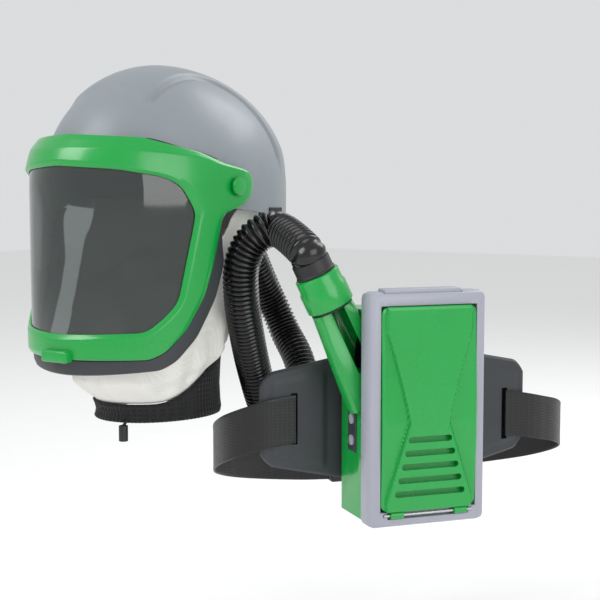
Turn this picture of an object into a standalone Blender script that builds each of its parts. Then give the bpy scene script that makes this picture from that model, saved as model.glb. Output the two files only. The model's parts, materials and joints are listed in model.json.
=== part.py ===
"""Powered air respirator: a face helmet, its breathing hose, and a blower worn on a belt.

Metres, +Z up. The helmet faces -Y and its plane of symmetry is YZ. The origin is where the
crown strap rests on the head. The blower hangs beside and below the helmet, turned about Z.
"""
import bpy
import bmesh
from math import cos, pi, radians, sin, sqrt
from mathutils import Matrix, Vector

# ---- driving dimensions, helmet ----
CROWN_TO_PIVOT = 0.100
PIVOT = Vector((0, -0.024, -CROWN_TO_PIVOT))
SHELL_HALF_WIDTH = 0.115
SHELL_FRONT = 0.131
SHELL_BACK = 0.174
SHELL_TOP = 0.127
SHELL_WALL = 0.003
VISOR_HALF_WIDTH = 0.126
VISOR_FRONT = 0.156
VISOR_TOP = 0.125
BEZEL_WALL = 0.0044
LENS_WALL = 0.0016
GASKET_WALL = 0.0008
JAW_HALF_WIDTH = 0.1138
JAW_FRONT = 0.1432
JAW_WALL = 0.004
BAND_HALF_WIDTH = 0.080
BAND_HALF_LENGTH = 0.100
BAND_HEIGHT = 0.028
GAP = 0.0003
SEAM = 0.0005

# ---- driving dimensions, blower and belt ----
BLOWER_PLACE = Vector((0.304, 0.057, -0.323))
BLOWER_TURN = radians(55)
BLOWER_HALF_WIDTH = 0.064
BLOWER_TOP = 0.119
BLOWER_BOTTOM = -0.117
FRAME_DEPTH = 0.030
BLOWER_DEPTH = 0.085
COVER_HALF_WIDTH = 0.052
COVER_TOP = 0.105
COVER_BOTTOM = -0.1005
HINGE_Z = -0.1040
OUTLET_Y = 0.045
OUTLET_BASE = Vector((-0.087, OUTLET_Y, 0.1015))
OUTLET_LEAN = radians(-26)
COLLAR_RADIUS = 0.0235
COLLAR_LENGTH = 0.036
HOSE_RADIUS = 0.019
WEB_WIDTH = 0.050
WEB_THICK = 0.0022
ROUND_SEGMENTS = 32

for old in list(bpy.data.objects):
    bpy.data.objects.remove(old, do_unlink=True)

parts = bpy.data.collections.new("powered_air_respirator")
cutters = bpy.data.collections.new("cutters")
bpy.context.scene.collection.children.link(parts)
bpy.context.scene.collection.children.link(cutters)


def finish(name, color, roughness, metallic=0.0, alpha=1.0):
    """A plain Principled material in the piece's colour."""
    material = bpy.data.materials.new(name)
    material.use_nodes = True
    shader = material.node_tree.nodes["Principled BSDF"]
    shader.inputs["Base Color"].default_value = (*color, 1)
    shader.inputs["Roughness"].default_value = roughness
    shader.inputs["Metallic"].default_value = metallic
    shader.inputs["Alpha"].default_value = alpha
    return material


GREY_SHELL = finish("grey_shell", (0.27, 0.28, 0.30), 0.4)
GREEN = finish("green_moulding", (0.02, 0.45, 0.07), 0.3)
DARK_GREY = finish("dark_moulding", (0.035, 0.038, 0.045), 0.5)
BLACK = finish("black_moulding", (0.012, 0.012, 0.013), 0.5)
RUBBER = finish("black_rubber", (0.01, 0.01, 0.01), 0.7)
CLEAR = finish("clear_lens", (0.6, 0.64, 0.66), 0.05, alpha=0.35)
WHITE_CLOTH = finish("white_cloth", (0.75, 0.75, 0.73), 0.9)
KNIT = finish("black_knit", (0.012, 0.012, 0.013), 0.95)
HOSE_BLACK = finish("hose_black", (0.01, 0.01, 0.01), 0.3)
WEBBING = finish("black_webbing", (0.015, 0.015, 0.016), 0.8)
STEEL = finish("steel", (0.55, 0.55, 0.56), 0.3, 1.0)
BOARD = finish("circuit_board", (0.02, 0.12, 0.05), 0.5)
PAPER = finish("filter_media", (0.78, 0.78, 0.74), 0.9)
FOAM = finish("grey_foam", (0.05, 0.05, 0.055), 0.9)


def empty(name, location, turn=0.0, parent=None):
    """A frame that pieces hang on; for moving pieces it lies on the joint's axis."""
    frame = bpy.data.objects.new(name, None)
    frame.location = location
    frame.rotation_euler = (0, 0, turn)
    frame.parent = parent
    parts.objects.link(frame)
    return frame


def place(name, mesh, material=None, parent=None, shift=None):
    """Wrap a mesh as a named piece, or as a cutter when it has no material."""
    piece = bpy.data.objects.new(name, mesh)
    if material is None:
        cutters.objects.link(piece)
        piece.hide_render = True
        piece.display_type = 'WIRE'
    else:
        mesh.materials.append(material)
        parts.objects.link(piece)
        mesh.shade_smooth()
        mesh.set_sharp_from_angle(angle=radians(35))
    piece.parent = parent
    if shift is not None:
        piece.location = -Vector(shift)
    return piece


def to_mesh(name, bm):
    """Turn a bmesh into mesh data with outward faces."""
    bmesh.ops.recalc_face_normals(bm, faces=bm.faces)
    if bm.calc_volume(signed=True) < 0 and not any(edge.is_boundary for edge in bm.edges):
        bmesh.ops.reverse_faces(bm, faces=bm.faces)
    mesh = bpy.data.meshes.new(name)
    bm.to_mesh(mesh)
    bm.free()
    return mesh


def box(name, low, high, material=None, parent=None, shift=None, bevel=0.0, segments=2):
    """A box between two corners, with rounded edges if a bevel is given."""
    low, high = Vector(low), Vector(high)
    bm = bmesh.new()
    bmesh.ops.create_cube(bm, size=1.0)
    bmesh.ops.scale(bm, vec=high - low, verts=bm.verts)
    bmesh.ops.translate(bm, vec=(low + high) / 2, verts=bm.verts)
    piece = place(name, to_mesh(name, bm), material, parent, shift)
    if bevel:
        soften(piece, bevel, segments)
    return piece


def cylinder(name, start, end, radius, material=None, parent=None, shift=None, end_radius=None,
             segments=ROUND_SEGMENTS):
    """A cylinder or cone between two points."""
    start, end = Vector(start), Vector(end)
    along = end - start
    turn = Vector((0, 0, 1)).rotation_difference(along.normalized()).to_matrix().to_4x4()
    bm = bmesh.new()
    bmesh.ops.create_cone(bm, cap_ends=True, segments=segments, radius1=radius,
                          radius2=radius if end_radius is None else end_radius, depth=along.length,
                          matrix=Matrix.Translation((start + end) / 2) @ turn)
    return place(name, to_mesh(name, bm), material, parent, shift)


def turned(name, profile, location, tilt, material, parent, segments=ROUND_SEGMENTS):
    """A closed profile of (radius, height) points turned about its own Z by a Screw modifier."""
    bm = bmesh.new()
    verts = [bm.verts.new((radius, 0, height)) for radius, height in profile]
    for first, second in zip(verts, verts[1:] + verts[:1]):
        bm.edges.new((first, second))
    mesh = bpy.data.meshes.new(name)
    bm.to_mesh(mesh)
    bm.free()
    piece = place(name, mesh, material, parent)
    piece.location = location
    piece.rotation_euler = tilt
    screw = piece.modifiers.new("turn", 'SCREW')
    screw.steps = segments
    screw.render_steps = segments
    screw.use_merge_vertices = True
    screw.merge_threshold = 0.00005
    return piece


def ring_profile(inner, outer, bottom, top):
    """The section of a plain ring, its outer side running down."""
    return [(outer, top), (outer, bottom), (inner, bottom), (inner, top)]


def soften(piece, width, segments=2):
    """Round the piece's sharp edges."""
    bevel = piece.modifiers.new("round", 'BEVEL')
    bevel.width = width
    bevel.segments = segments
    bevel.limit_method = 'ANGLE'
    bevel.angle_limit = radians(35)


def cut(piece, tool, operation='DIFFERENCE'):
    """Boolean the piece with a cutter that shares its parent."""
    boolean = piece.modifiers.new(operation.lower(), 'BOOLEAN')
    boolean.object = tool
    boolean.operation = operation
    boolean.solver = 'EXACT'


def head_form(name, half_width, front, back, top, drop=0.40, segments=48, material=None):
    """A dome over near-upright walls, centred on the visor pivot's height."""
    bm = bmesh.new()
    bmesh.ops.create_uvsphere(bm, u_segments=segments, v_segments=segments // 2, radius=1.0)
    for vert in bm.verts:
        x, y, z = vert.co
        reach = max(sqrt(x * x + y * y), 1e-9)
        swell = 1.0
        height = z * top
        if z < 0:
            swell = sqrt(reach) / reach
            height = -drop * sqrt(-z)
        length = front if y < 0 else back
        vert.co = (x * swell * half_width, y * swell * length, height - CROWN_TO_PIVOT)
    return place(name, to_mesh(name, bm), material)


def prism(name, outline, axis, reach=0.3):
    """A flat outline given a great depth along X ('X', outline in YZ) or Y ('Y', outline in XZ)."""
    curve = bpy.data.curves.new(name, 'CURVE')
    curve.dimensions = '2D'
    curve.fill_mode = 'BOTH'
    curve.extrude = reach
    line = curve.splines.new('POLY')
    line.points.add(len(outline) - 1)
    for point, (across, up) in zip(line.points, outline):
        point.co = (across, up, 0, 1)
    line.use_cyclic_u = True
    guide = bpy.data.objects.new(name, curve)
    bpy.context.scene.collection.objects.link(guide)
    bpy.context.view_layer.update()
    shape = guide.evaluated_get(bpy.context.evaluated_depsgraph_get())
    mesh = bpy.data.meshes.new_from_object(shape)
    bpy.data.objects.remove(guide, do_unlink=True)
    bm = bmesh.new()
    bm.from_mesh(mesh)
    bmesh.ops.remove_doubles(bm, verts=bm.verts, dist=0.00005)
    for vert in bm.verts:
        across, up, depth = vert.co
        vert.co = (depth, across, up) if axis == 'X' else (across, depth, up)
    bpy.data.meshes.remove(mesh)
    return place(name, to_mesh(name, bm))


def rounded(corners, radius, steps=3):
    """An outline with each corner replaced by a short arc-like bend."""
    result = []
    count = len(corners)
    for index in range(count):
        corner = Vector(corners[index])
        before = Vector(corners[index - 1]) - corner
        after = Vector(corners[(index + 1) % count]) - corner
        reach = min(radius, before.length * 0.45, after.length * 0.45)
        start = corner + before.normalized() * reach
        end = corner + after.normalized() * reach
        for step in range(steps + 1):
            t = step / steps
            point = start * (1 - t) ** 2 + corner * 2 * t * (1 - t) + end * t * t
            result.append((point.x, point.y))
    return result


def lowered(points):
    """Heights measured from the pivot become heights from the crown."""
    return [(across, up - CROWN_TO_PIVOT) for across, up in points]


def shell_between(name, outer, inner, material, parent=None, shift=None, segments=48):
    """The wall between two head forms, as (half width, front, back, top) tuples."""
    piece = head_form(name, *outer, segments=segments, material=material)
    cut(piece, head_form(name + "_core", *inner, drop=0.45, segments=segments))
    piece.parent = parent
    if shift is not None:
        piece.location = -Vector(shift)
    return piece


def section(half_width, front, back, height, segments=40):
    """One level of a loft: an egg-shaped ring."""
    ring = []
    for index in range(segments):
        turn = 2 * pi * index / segments
        length = front if sin(turn) < 0 else back
        ring.append((half_width * cos(turn), length * sin(turn), height - CROWN_TO_PIVOT))
    return ring


def loft(name, rings, wall, material, parent=None, closed=True):
    """Rings of equal counts bridged into a skin, then given thickness inwards."""
    bm = bmesh.new()
    levels = [[bm.verts.new(point) for point in ring] for ring in rings]
    count = len(rings[0])
    for lower, upper in zip(levels, levels[1:]):
        for index in range(count if closed else count - 1):
            following = (index + 1) % count
            bm.faces.new((lower[index], lower[following], upper[following], upper[index]))
    piece = place(name, to_mesh(name, bm), material, parent)
    thick = piece.modifiers.new("wall", 'SOLIDIFY')
    thick.thickness = wall
    thick.offset = -1.0 if closed else 0.0
    thick.use_even_offset = True
    return piece


def smooth_line(route, spacing):
    """Evenly spaced points along a smooth curve through the route's points."""
    dense = []
    ends = [route[0] * 2 - route[1]] + list(route) + [route[-1] * 2 - route[-2]]
    for index in range(1, len(ends) - 2):
        before, start, end, after = ends[index - 1:index + 3]
        for step in range(12):
            t = step / 12
            dense.append(0.5 * (2 * start + (end - before) * t
                                + (2 * before - 5 * start + 4 * end - after) * t * t
                                + (3 * start - before - 3 * end + after) * t ** 3))
    dense.append(route[-1])
    total = sum((b - a).length for a, b in zip(dense, dense[1:]))
    count = max(2, round(total / spacing))
    result = [dense[0]]
    travelled = 0.0
    for start, end in zip(dense, dense[1:]):
        length = (end - start).length
        while len(result) < count and travelled + length >= len(result) * total / count - 1e-12:
            share = (len(result) * total / count - travelled) / length
            result.append(start.lerp(end, share))
        travelled += length
    result.append(dense[-1])
    return result


def helmet_shell():
    """The hard shell, its fixed face ring and the seal over the brow."""
    outer = (SHELL_HALF_WIDTH, SHELL_FRONT, SHELL_BACK, SHELL_TOP)
    inner = tuple(value - SHELL_WALL for value in outer)
    shell = shell_between("helmet_shell", outer, inner, GREY_SHELL)
    rim = [(-0.25, 0.050), (-0.10, 0.047), (-0.072, 0.020), (-0.052, -0.014), (-0.020, -0.022),
           (0.060, -0.030), (0.120, -0.037), (0.25, -0.040), (0.25, 0.25), (-0.25, 0.25)]
    cut(shell, prism("shell_rim", lowered(rim), 'X'), 'INTERSECT')
    for side in (-1, 1):
        bore = cylinder(f"pin_bore_{side}", PIVOT + Vector((side * 0.09, 0, 0)),
                        PIVOT + Vector((side * 0.14, 0, 0)), 0.0034)
        cut(shell, bore)

    seal_out = (SHELL_HALF_WIDTH + 0.0020, SHELL_FRONT + 0.0020, SHELL_BACK, SHELL_TOP + 0.0020)
    seal_in = (SHELL_HALF_WIDTH + 0.0005, SHELL_FRONT + 0.0005, SHELL_BACK - 0.001, SHELL_TOP + 0.0005)
    seal = shell_between("brow_seal", seal_out, seal_in, RUBBER)
    strip = [(-0.25, 0.050), (-0.106, 0.049), (-0.096, 0.043), (-0.096, 0.051), (-0.106, 0.0565),
             (-0.25, 0.0575)]
    cut(seal, prism("seal_strip", lowered(strip), 'X'), 'INTERSECT')


def jaw_frame():
    """The dark ring below the shell, round the sides and under the chin."""
    outer = (JAW_HALF_WIDTH, JAW_FRONT, 0.172, 0.15)
    inner = tuple(value - JAW_WALL for value in outer)
    jaw = shell_between("jaw_frame", outer, inner, DARK_GREY)
    side = [(-0.25, -0.060), (-0.090, -0.045), (-0.058, -0.022), (-0.020, -0.0235), (0.045, -0.0303),
            (0.040, -0.036), (-0.014, -0.036), (-0.045, -0.052), (-0.070, -0.110), (-0.094, -0.176),
            (-0.112, -0.187), (-0.25, -0.190)]
    cut(jaw, prism("jaw_side", lowered(side), 'X'), 'INTERSECT')
    mouth = [(-0.098, 0.06), (0.098, 0.06), (0.098, -0.112), (0.070, -0.150), (-0.070, -0.150),
             (-0.098, -0.112)]
    window = prism("jaw_mouth", lowered(rounded(mouth, 0.02)), 'Y', 0.25)
    window.location.y = -0.265
    cut(jaw, window)


def visor():
    """The lifting visor: green bezel, lens and gasket on two pivot pins."""
    axis = empty("visor_axis", PIVOT)
    bezel_outer = (VISOR_HALF_WIDTH, VISOR_FRONT, 0.180, VISOR_TOP)
    bezel_inner = tuple(value - BEZEL_WALL for value in bezel_outer)
    bezel = shell_between("visor_bezel", bezel_outer, bezel_inner, GREEN, axis, PIVOT)
    outline = [(-0.25, 0.052), (-0.095, 0.050), (-0.060, 0.028), (-0.030, 0.016), (-0.012, 0.014),
               (-0.006, 0.004), (-0.008, -0.012), (-0.018, -0.020), (-0.034, -0.024), (-0.043, -0.041),
               (-0.060, -0.108), (-0.092, -0.160), (-0.105, -0.171), (-0.25, -0.172)]
    side = prism("bezel_side", lowered(outline), 'X')
    window_corners = [(-0.102, 0.007), (-0.060, 0.021), (0.060, 0.021), (0.102, 0.007),
                      (0.1110, -0.0274), (0.1025, -0.116), (0.083, -0.1446), (-0.083, -0.1446),
                      (-0.1025, -0.116), (-0.1110, -0.0274)]
    window = prism("bezel_window", lowered(rounded(window_corners, 0.012)), 'Y', 0.25)
    window.location.y = -0.265
    for tool, operation in ((side, 'INTERSECT'), (window, 'DIFFERENCE')):
        tool.parent = axis
        tool.location -= PIVOT
        cut(bezel, tool, operation)
    for sign in (-1, 1):
        bore = cylinder(f"bezel_bore_{sign}", (sign * 0.09, 0, 0), (sign * 0.14, 0, 0), 0.0034, parent=axis)
        cut(bezel, bore)
    tab = box("lift_tab", (-0.017, -0.1625, -0.2745), (0.017, -0.150, -0.2625), parent=axis, shift=PIVOT)
    cut(bezel, tab, 'UNION')

    def layer(name, offset, wall, spread, material):
        """A curved sheet inside the bezel that follows the window, wider by spread."""
        out = tuple(value - offset for value in bezel_outer)
        inn = tuple(value - offset - wall for value in bezel_outer)
        piece = shell_between(name, out, inn, material, axis, PIVOT)
        wide = [(x * (1 + spread / 0.10), (z + 0.06) * (1 + spread / 0.083) - 0.06)
                for x, z in window_corners]
        tool = prism(name + "_outline", lowered(rounded(wide, 0.012)), 'Y', 0.25)
        tool.parent = axis
        tool.location = -PIVOT + Vector((0, -0.275, 0))
        cut(piece, tool, 'INTERSECT')
        return piece

    layer("visor_lens", BEZEL_WALL + GAP, LENS_WALL, 0.0070, CLEAR)
    gasket = layer("lens_gasket", BEZEL_WALL + LENS_WALL + 2 * GAP, GASKET_WALL, 0.0062, RUBBER)
    hole = prism("gasket_hole", lowered(rounded(window_corners, 0.012)), 'Y', 0.25)
    hole.parent = axis
    hole.location = -PIVOT + Vector((0, -0.265, 0))
    cut(gasket, hole)
    for sign, word in ((-1, "right"), (1, "left")):
        cylinder(f"pivot_cap_{word}", (sign * 0.1262, 0, 0), (sign * 0.1300, 0, 0), 0.0095, GREEN, axis)
        cylinder(f"pivot_pin_{word}", (sign * 0.1045, 0, 0), (sign * 0.1259, 0, 0), 0.0030, STEEL, axis,
                 segments=20)


def cape_and_cuff():
    """The cloth between helmet and neck, with its knitted cuff."""
    levels = [(0.100, 0.128, 0.125, -0.042), (0.098, 0.127, 0.118, -0.070), (0.087, 0.121, 0.098, -0.120),
              (0.071, 0.112, 0.080, -0.165), (0.065, 0.098, 0.072, -0.203), (0.064, 0.084, 0.070, -0.226)]
    cape = loft("face_cape", [section(*level) for level in reversed(levels)], 0.002, WHITE_CLOTH)
    face = [(-0.25, 0.0), (0.020, 0.0), (-0.020, -0.060), (-0.060, -0.140), (-0.085, -0.172),
            (-0.25, -0.178)]
    cut(cape, prism("cape_face_opening", lowered(face), 'X'))
    cuff_levels = [(0.0640, 0.0840, 0.070, -0.2265), (0.0630, 0.080, 0.068, -0.237),
                   (0.0640, 0.081, 0.069, -0.2460)]
    loft("neck_cuff", [section(*level) for level in reversed(cuff_levels)], 0.004, KNIT)
    cylinder("cuff_toggle", (0.020, -0.0825, -0.3475), (0.020, -0.0825, -0.3640), 0.0048, BLACK, segments=16)
    for sign, word in ((-1, "right"), (1, "left")):
        box(f"rim_clip_{word}", (sign * 0.107 - 0.004, 0.052, -0.158),
            (sign * 0.107 + 0.004, 0.074, -0.1345), BLACK, bevel=0.0015, segments=1)


def band(name, offset, wall, start, end, low, high, material, parent=None, shift=None):
    """A stretch of the headband's oval between two angles, as a strip with thickness."""
    bm = bmesh.new()
    previous = None
    steps = max(6, round(abs(end - start) / 9))
    for index in range(steps + 1):
        turn = radians(start + (end - start) * index / steps)
        x = (BAND_HALF_WIDTH + offset) * cos(turn)
        y = (BAND_HALF_LENGTH + offset) * sin(turn)
        pair = (bm.verts.new((x, y, low)), bm.verts.new((x, y, high)))
        if previous:
            bm.faces.new((previous[0], pair[0], pair[1], previous[1]))
        previous = pair
    piece = place(name, to_mesh(name, bm), material, parent, shift)
    thick = piece.modifiers.new("wall", 'SOLIDIFY')
    thick.thickness = wall
    thick.offset = 0.0
    return piece


def headgear():
    """What carries the helmet on the head, and sets its size at the nape."""
    low, high = -0.112, -0.112 + BAND_HEIGHT
    band("headband", 0.0, 0.002, -190, 10, low, high, BLACK)
    band("sweatband", -0.0035, 0.0035, -155, -25, low + 0.002, high - 0.002, FOAM)
    outer = (0.0835, 0.1035, 0.1035, 0.1030)
    inner = (0.0815, 0.1015, 0.1015, 0.1003)
    strap = shell_between("crown_strap", outer, inner, WEBBING, segments=28)
    across = box("strap_across", (-0.15, -0.011, high + 0.001), (0.15, 0.011, 0.1))
    along = box("strap_along", (-0.011, -0.15, high + 0.001), (0.011, 0.15, 0.1))
    cut(across, along, 'UNION')
    cut(strap, across, 'INTERSECT')

    nape = empty("nape_axis", (0, 0.112, -0.098))
    band("nape_band", 0.0045, 0.002, 4, 176, low + 0.004, high - 0.004, BLACK, nape, nape.location)
    housing = box("nape_housing", (-0.028, -0.0062, -0.013), (0.028, 0.006, 0.013), BLACK, nape, bevel=0.003)
    cut(housing, cylinder("nape_socket", (0, 0.000, 0), (0, 0.02, 0), 0.0055, parent=nape))
    knob = empty("knob_axis", (0, 0, 0), parent=nape)
    dial = cylinder("ratchet_knob", (0, 0.0065, 0), (0, 0.0165, 0), 0.0140, BLACK, knob)
    stem = cylinder("knob_stem", (0, 0.0010, 0), (0, 0.0080, 0), 0.0050, parent=knob)
    cut(dial, stem, 'UNION')


def air_path():
    """The duct over the head and the socket that the hose plugs into."""
    outer = (0.1110, 0.1270, 0.1695, 0.1225)
    inner = (0.1030, 0.1190, 0.1600, 0.1150)
    duct = shell_between("air_duct", outer, inner, DARK_GREY, segments=32)
    cut(duct, box("duct_span", (-0.030, -0.085, -0.1165), (0.030, 0.3, 0.2)), 'INTERSECT')
    bore = shell_between("duct_bore", (0.1098, 0.1258, 0.1683, 0.1213), (0.1042, 0.1202, 0.1612, 0.1162), None,
                         segments=32)
    cut(bore, box("bore_span", (-0.0288, -0.12, -0.16), (0.0288, 0.3, 0.2)), 'INTERSECT')
    cut(duct, bore)

    tilt = (radians(22), 0, 0)
    base = Vector((0, 0.1400, -0.1240))
    along = Vector((0, sin(tilt[0]), -cos(tilt[0])))
    turned("helmet_inlet", ring_profile(0.0135, 0.0165, -0.030, 0), base, tilt, DARK_GREY, None, 24)
    cuff_top = base + along * 0.0303
    turned("helmet_hose_cuff", ring_profile(0.0150, 0.0195, -0.014, 0), cuff_top, tilt, BLACK, None, 24)
    return cuff_top + along * 0.0143, along


def blower_case(base):
    """Rear housing with its outlet duct, front frame, hinged cover and latch."""
    housing = box("rear_housing", (-0.060, FRAME_DEPTH + SEAM, -0.114), (0.060, BLOWER_DEPTH, 0.100),
                  GREEN, base)
    up = Vector((sin(OUTLET_LEAN), 0, cos(OUTLET_LEAN)))
    duct = cylinder("outlet_duct", OUTLET_BASE - up * 0.105, OUTLET_BASE, 0.030, parent=base, end_radius=0.0222)
    trim = box("duct_trim", (-0.2, FRAME_DEPTH + SEAM, -0.1), (0.2, BLOWER_DEPTH, 0.2), parent=base)
    cut(duct, trim, 'INTERSECT')
    cut(housing, duct, 'UNION')
    cavity = box("housing_cavity", (-0.056, 0.0, -0.110), (0.056, 0.081, 0.096), parent=base)
    cut(housing, cavity)
    bore = cylinder("outlet_bore", OUTLET_BASE - up * 0.070, OUTLET_BASE + up * 0.01, 0.0165, parent=base,
                    segments=20)
    cut(housing, bore)
    cut(housing, box("battery_door", (-0.0463, 0.0455, -0.13), (0.0463, 0.0785, -0.10), parent=base))
    cut(housing, box("latch_slot", (-0.0108, 0.0330, -0.13), (0.0108, 0.0437, -0.10), parent=base))
    cut(housing, box("panel_recess", (-0.070, 0.0440, -0.0480), (-0.0572, 0.0650, -0.0020), parent=base))
    soften(housing, 0.0025, 2)

    frame = box("front_frame", (-BLOWER_HALF_WIDTH, 0, BLOWER_BOTTOM), (BLOWER_HALF_WIDTH, FRAME_DEPTH, BLOWER_TOP),
                GREY_SHELL, base)
    soften(frame, 0.007, 2)
    edge = COVER_HALF_WIDTH + SEAM
    cut(frame, box("frame_opening", (-edge, -0.01, COVER_BOTTOM - SEAM), (edge, 0.05, COVER_TOP + SEAM),
                   parent=base))
    cut(frame, box("hinge_room", (-0.0445, -0.01, HINGE_Z - 0.0042), (0.0445, 0.0060, -0.098), parent=base))
    cut(frame, cylinder("hinge_bore", (-0.049, 0.0, HINGE_Z), (0.049, 0.0, HINGE_Z), 0.0017, parent=base,
                        segments=16))
    cut(frame, box("latch_room", (-0.0475, 0.004, 0.1130), (0.0375, 0.0235, 0.13), parent=base))
    cylinder("cover_hinge_pin", (-0.0487, 0.0, HINGE_Z), (0.0487, 0.0, HINGE_Z), 0.0014, STEEL, base,
             segments=16)

    latch_axis = empty("latch_axis", (-0.005, 0.01375, 0.1185), parent=base)
    box("cover_latch", (-0.0420, -0.0092, -0.0030), (0.0420, 0.0092, 0.0035), GREY_SHELL, latch_axis, bevel=0.0012,
        segments=1)

    hinge = empty("cover_axis", (0, 0, HINGE_Z), parent=base)
    rise = -HINGE_Z
    cover = box("filter_cover", (-COVER_HALF_WIDTH, -0.0040, COVER_BOTTOM + rise),
                (COVER_HALF_WIDTH, 0.0060, COVER_TOP + rise), GREEN, hinge)
    soften(cover, 0.0015, 1)
    for index in range(5):
        half = 0.0235 + 0.0036 * index
        height = -0.0285 - 0.0135 * index + rise
        cut(cover, box(f"louvre_{index}", (-half, -0.01, height - 0.0024), (half, 0.0035, height + 0.0024),
                       parent=hinge))
    for sign in (-1, 1):
        knuckle = cylinder(f"knuckle_{sign}", (sign * 0.028, 0, 0), (sign * 0.042, 0, 0), 0.0037, parent=hinge,
                           segments=16)
        cut(cover, knuckle, 'UNION')
    cut(cover, cylinder("knuckle_bore", (-0.060, 0, 0), (0.060, 0, 0), 0.0018, parent=hinge, segments=16))


def blower_inside(base):
    """Filter, fan, motor, board and battery."""
    box("filter_cartridge", (-0.0505, 0.0085, -0.0935), (0.0505, 0.0300, 0.1040), PAPER, base, bevel=0.001,
        segments=1)
    seal = box("filter_seal", (-0.0540, 0.0320, -0.0960), (0.0540, 0.0350, 0.0945), RUBBER, base)
    cut(seal, box("seal_hole", (-0.046, 0.02, -0.088), (0.046, 0.04, 0.0865), parent=base))

    centre = Vector((-0.004, 0, 0.040))
    volute = cylinder("fan_volute", centre + Vector((0, 0.0370, 0)), centre + Vector((0, 0.0715, 0)), 0.0460,
                      DARK_GREY, base)
    cut(volute, cylinder("volute_room", centre + Vector((0, 0.0390, 0)), centre + Vector((0, 0.0695, 0)), 0.0425,
                         parent=base))
    cut(volute, cylinder("volute_inlet", centre + Vector((0, 0.03, 0)), centre + Vector((0, 0.045, 0)), 0.0200,
                         parent=base))
    cut(volute, box("volute_outlet", (-0.047, 0.0420, 0.050), (-0.036, 0.0600, 0.066), parent=base))
    motor = cylinder("motor", centre + Vector((0, 0.0545, 0)), centre + Vector((0, 0.0692, 0)), 0.0150, STEEL, base,
                     segments=24)
    cut(motor, cylinder("motor_bore", centre + Vector((0, 0.05, 0)), centre + Vector((0, 0.0640, 0)), 0.0023,
                        parent=base, segments=16))
    spin = empty("impeller_axis", centre + Vector((0, 0.045, 0)), parent=base)
    impeller = cylinder("impeller", (0, 0.0062, 0), (0, 0.0080, 0), 0.0380, BLACK, spin, segments=24)
    cut(impeller, cylinder("impeller_hub", (0, -0.0030, 0), (0, 0.0070, 0), 0.0070, parent=spin, segments=20),
        'UNION')
    bm = bmesh.new()
    for index in range(9):
        turn = Matrix.Rotation(2 * pi * index / 9, 4, 'Y') @ Matrix.Translation((0.024, 0.0020, 0))
        size = Matrix.Diagonal((0.0200, 0.0100, 0.0014, 1))
        bmesh.ops.create_cube(bm, size=1.0, matrix=turn @ Matrix.Rotation(radians(28), 4, 'Y') @ size)
    cut(impeller, place("impeller_blades", to_mesh("impeller_blades", bm), parent=spin), 'UNION')
    cut(impeller, cylinder("hub_bore", (0, -0.01, 0), (0, 0.02, 0), 0.0023, parent=spin, segments=16))
    cylinder("motor_shaft", (0, -0.0030, 0), (0, 0.0180, 0), 0.0020, STEEL, spin, segments=16)

    box("control_board", (-0.048, 0.0735, -0.005), (0.048, 0.0752, 0.090), BOARD, base)
    battery_axis = empty("battery_axis", (0, 0.062, -0.080), parent=base)
    box("battery_pack", (-0.0455, -0.0160, -0.0340), (0.0455, 0.0160, 0.0350), BLACK, battery_axis, bevel=0.002,
        segments=1)
    latch_axis = empty("battery_latch_axis", (0, 0.03995, -0.110), parent=base)
    box("battery_latch", (-0.0100, -0.0034, -0.0050), (0.0100, 0.0034, 0.0050), GREY_SHELL, latch_axis)


def keypad(base):
    """The side label with its two press buttons."""
    panel = box("keypad_panel", (-0.0613, 0.0445, -0.0475), (-0.0576, 0.0645, -0.0025), DARK_GREY, base)
    for name, height in (("speed_button", -0.0140), ("power_button", -0.0360)):
        seat = Vector((-0.0600, 0.0545, height))
        cut(panel, cylinder(name + "_hole", seat - Vector((0.01, 0, 0)), seat + Vector((0.01, 0, 0)), 0.0058,
                            parent=base, segments=24))
        axis = empty(name + "_axis", seat, parent=base)
        cylinder(name, (-0.0026, 0, 0), (0.0012, 0, 0), 0.0054, GREY_SHELL, axis, segments=24)


def outlet(base):
    """Seal, twist collar and hose cuff on the blower's outlet."""
    up = Vector((sin(OUTLET_LEAN), 0, cos(OUTLET_LEAN)))
    tilt = (0, OUTLET_LEAN, 0)
    turned("outlet_seal", ring_profile(0.0172, 0.0218, 0, 0.0022), OUTLET_BASE + up * GAP, tilt, RUBBER, base, 32)
    collar_base = OUTLET_BASE + up * 0.0028
    collar_axis = empty("collar_axis", collar_base, parent=base)
    profile = [(0.0210, COLLAR_LENGTH), (COLLAR_RADIUS - 0.0006, COLLAR_LENGTH - 0.001),
               (COLLAR_RADIUS - 0.0006, 0.0235), (COLLAR_RADIUS + 0.0010, 0.0205),
               (COLLAR_RADIUS + 0.0010, 0.0010), (COLLAR_RADIUS, 0), (0.0185, 0), (0.0185, COLLAR_LENGTH)]
    turned("bayonet_collar", profile, (0, 0, 0), tilt, GREEN, collar_axis, 36)
    cuff_base = collar_base + up * (COLLAR_LENGTH - 0.0120)
    cuff = [(0.0196, 0.0270), (0.0196, 0.0150), (0.0205, 0.0145), (0.0205, 0.0125), (0.0180, 0.0125),
            (0.0180, 0), (0.0150, 0), (0.0150, 0.0270)]
    turned("blower_hose_cuff", cuff, cuff_base, tilt, BLACK, base, 24)
    return cuff_base + up * 0.0273, up


PAD_Y = 0.0945
PAD_CURVE = 0.60
PAD_FLAT = 0.035


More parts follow.
